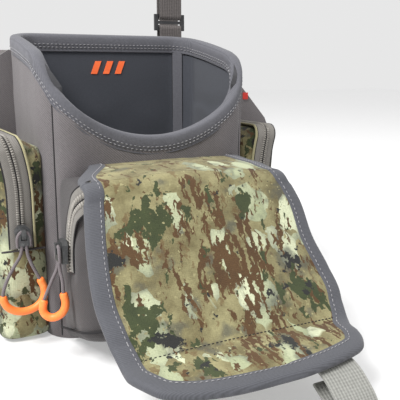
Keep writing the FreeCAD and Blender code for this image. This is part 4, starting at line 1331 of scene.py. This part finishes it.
def place_lid_piece(piece, part, slot, *nodes):
    """The piece rides on its panel; a piece that spans a fold stays where it is, with its transform baked in.
    """
    joints = {
        "hinge": ("pack", "lid_bridge", -2.0, 4.0),
        "fold": ("lid_bridge", "lid_panel", 54.0, 70.0),
        "crease": ("lid_panel", "lid_lip", 153.0, 169.0),
    }
    if nodes:
        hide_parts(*nodes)
    if part in joints:
        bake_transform(piece)
    else:
        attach(piece, {"bridge": "lid_bridge", "panel": "lid_panel", "lip": "lid_lip"}[part])


def make_lid():
    """The folding lid: camouflage cover, bound edges and the stitches that hold them."""
    covered = {
        "bridge": ("lid_bridge",),
        "panel": ("lid_cover", "lid_stiffener"),
        "lip": ("lip_cover", "lip_magnets"),
    }
    bound = {"panel": ("lid_binding",), "lip": ("lip_binding",)}
    for part in LID_PARTS:
        def cover_columns(index):
            first, last = inward(index, 0, BINDING - 1.5), inward(index, 1, BINDING - 1.5)
            return [first.lerp(last, column / (COVER_COLUMNS - 1)) for column in range(COVER_COLUMNS)]

        rows = lid_grid(part, cover_columns)
        cover = lid_solid("lid_%s_cover" % part, rows, lambda column: COVER_HALF, CAMO_FLAT)
        place_lid_piece(cover, part, "camo_fabric", *covered.get(part, ()))
        for side, side_name in ((0, "left"), (1, "right")):
            rows = lid_grid(part, lambda index: [inward(index, side, depth) for depth in EDGE_STEPS])
            name = "lid_%s_%s_tape" % (part, side_name)
            tape = lid_solid(name, rows, lambda column: EDGE_HALF[column], LID_TAPE)
            nodes = bound.get(part, ()) if side == 0 else ()
            place_lid_piece(tape, part, "binding_tape", *nodes)
            for face in (1, -1):
                seam = lid_seam(part, side, face)
                name = "lid_%s_%s_stitches_%s" % (part, side_name, "top" if face > 0 else "under")
                row = stitch_row(name, seam, THREAD, 3.0, 1.9, 0.28)
                place_lid_piece(row, part, "binding_tape")


def make_crease_stitches():
    """The stitch line along the lid's crease, from binding to binding."""
    left, right = (on_edge([row[side] for row in LID_ROWS], CREASE_AT).x for side in (0, 1))
    _, normal = lid_line(CREASE_AT)
    spots = []
    for part in range(90):
        x = left + BINDING + (right - left - 2 * BINDING) * part / 89
        spots.append((lid_spot(x, CREASE_AT, left, right) + normal * (COVER_HALF - 0.1), normal))
    row = stitch_row("lid_crease_stitches", spots, DARK_THREAD_AND_SHADE, 2.6, 2.1, 0.34)
    place_lid_piece(row, "crease", "binding_tape")


def lid_seam(part, side, face):
    """The stitch line near the inner edge of the binding, on one face."""
    spots = []
    for flat, left, right in lid_grid(part, lambda index: [inward(index, side, 8.6)]):
        point = lid_spot(flat[0].x, flat[0].y, left, right)
        _, normal = lid_line(flat[0].y)
        spots.append((point + normal * (2.85 * face), normal * face))
    return spots


# ---------------------------------------------------------------- finishes of the CAD's own pieces

def finish_hardware():
    """Buckles, ladder locks, straps and the small inner pieces keep their CAD shape."""
    for side in ("left", "right"):
        finish_node(side + "_ladder_lock", HARDWARE, 0.6)
        finish_node(side + "_buckle_socket", HARDWARE, 0.8)
        finish_node(side + "_buckle_plug", HARDWARE, 0.6)
        finish_node(side + "_tab", WEB_ACROSS_X, 0.35)
        finish_node(side + "_shoulder_strap", WEB_ACROSS_X, 0.35)
        finish_node(side + "_side_strap", WEB_ACROSS_Z, 0.35)
        finish_node(side + "_yoke_strap", WEB_ACROSS_Z, 0.35)
        finish_node(side + "_wing", SHELL, 0.8)
    finish_node("pull_loop", LOOP_WEB, 0.35)
    finish_node("base_panel", SHELL, 0.4)
    finish_node("wall_foam", FOAM_SHEET)
    finish_node("base_board", BOARD)
    finish_node("back_magnets", STEEL)
    finish_node("edge_tag", TAG, 0.2)
    finish_node("inner_mark", PRINT)


# ---------------------------------------------------------------- stage

def make_stage():
    """A pale floor with a faint glow, so that it meets the surround softly, and studio light."""
    size = 4.0
    corners = [(-size, -size, 0), (size, -size, 0), (size, size, 0), (-size, size, 0)]
    mesh = bpy.data.meshes.new("floor")
    mesh.from_pydata(corners, [], [(0, 1, 2, 3)])
    floor = bpy.data.objects.new("floor", mesh)
    floor.location.z = -0.0002
    bpy.context.scene.collection.objects.link(floor)
    material, tree, where = start_material("floor_paper")
    grain = cloud(tree, where, 60.0, 3.0)
    colour = mix(tree, grain, (0.48, 0.48, 0.48, 1), (0.52, 0.52, 0.52, 1))
    finish_material(material, tree, colour, grain, 0.05, 0.9, strength=0.1)
    paper = next(node for node in tree.nodes if node.type == "BSDF_PRINCIPLED")
    paper.inputs["Emission Color"].default_value = (1.0, 1.0, 1.0, 1.0)
    paper.inputs["Emission Strength"].default_value = PAPER_GLOW
    mesh.materials.append(material)

    world = bpy.data.worlds.new("studio")
    bpy.context.scene.world = world
    world.use_nodes = True
    world.node_tree.nodes["Background"].inputs[0].default_value = (1.0, 1.0, 1.0, 1.0)
    world.node_tree.nodes["Background"].inputs[1].default_value = SURROUND
    for name, place, size, power in LIGHTS:
        light = bpy.data.lights.new(name, "AREA")
        light.energy = power
        light.size = size
        lamp = bpy.data.objects.new(name, light)
        lamp.location = place
        lamp.rotation_euler = (Vector(LIGHT_AIM) - Vector(place)).to_track_quat("-Z", "Y").to_euler()
        bpy.context.scene.collection.objects.link(lamp)
    bpy.context.scene.view_settings.view_transform = "Standard"


make_camera()
for side in CORDS:
    make_cord(side)
make_shell()
make_wall_seams()
make_lining()
make_rim()
make_side_pocket("left", -1)
make_side_pocket("right", 1)
make_front_pocket()
make_pads()
make_zips()
make_lid()
make_crease_stitches()
finish_hardware()
make_stage()
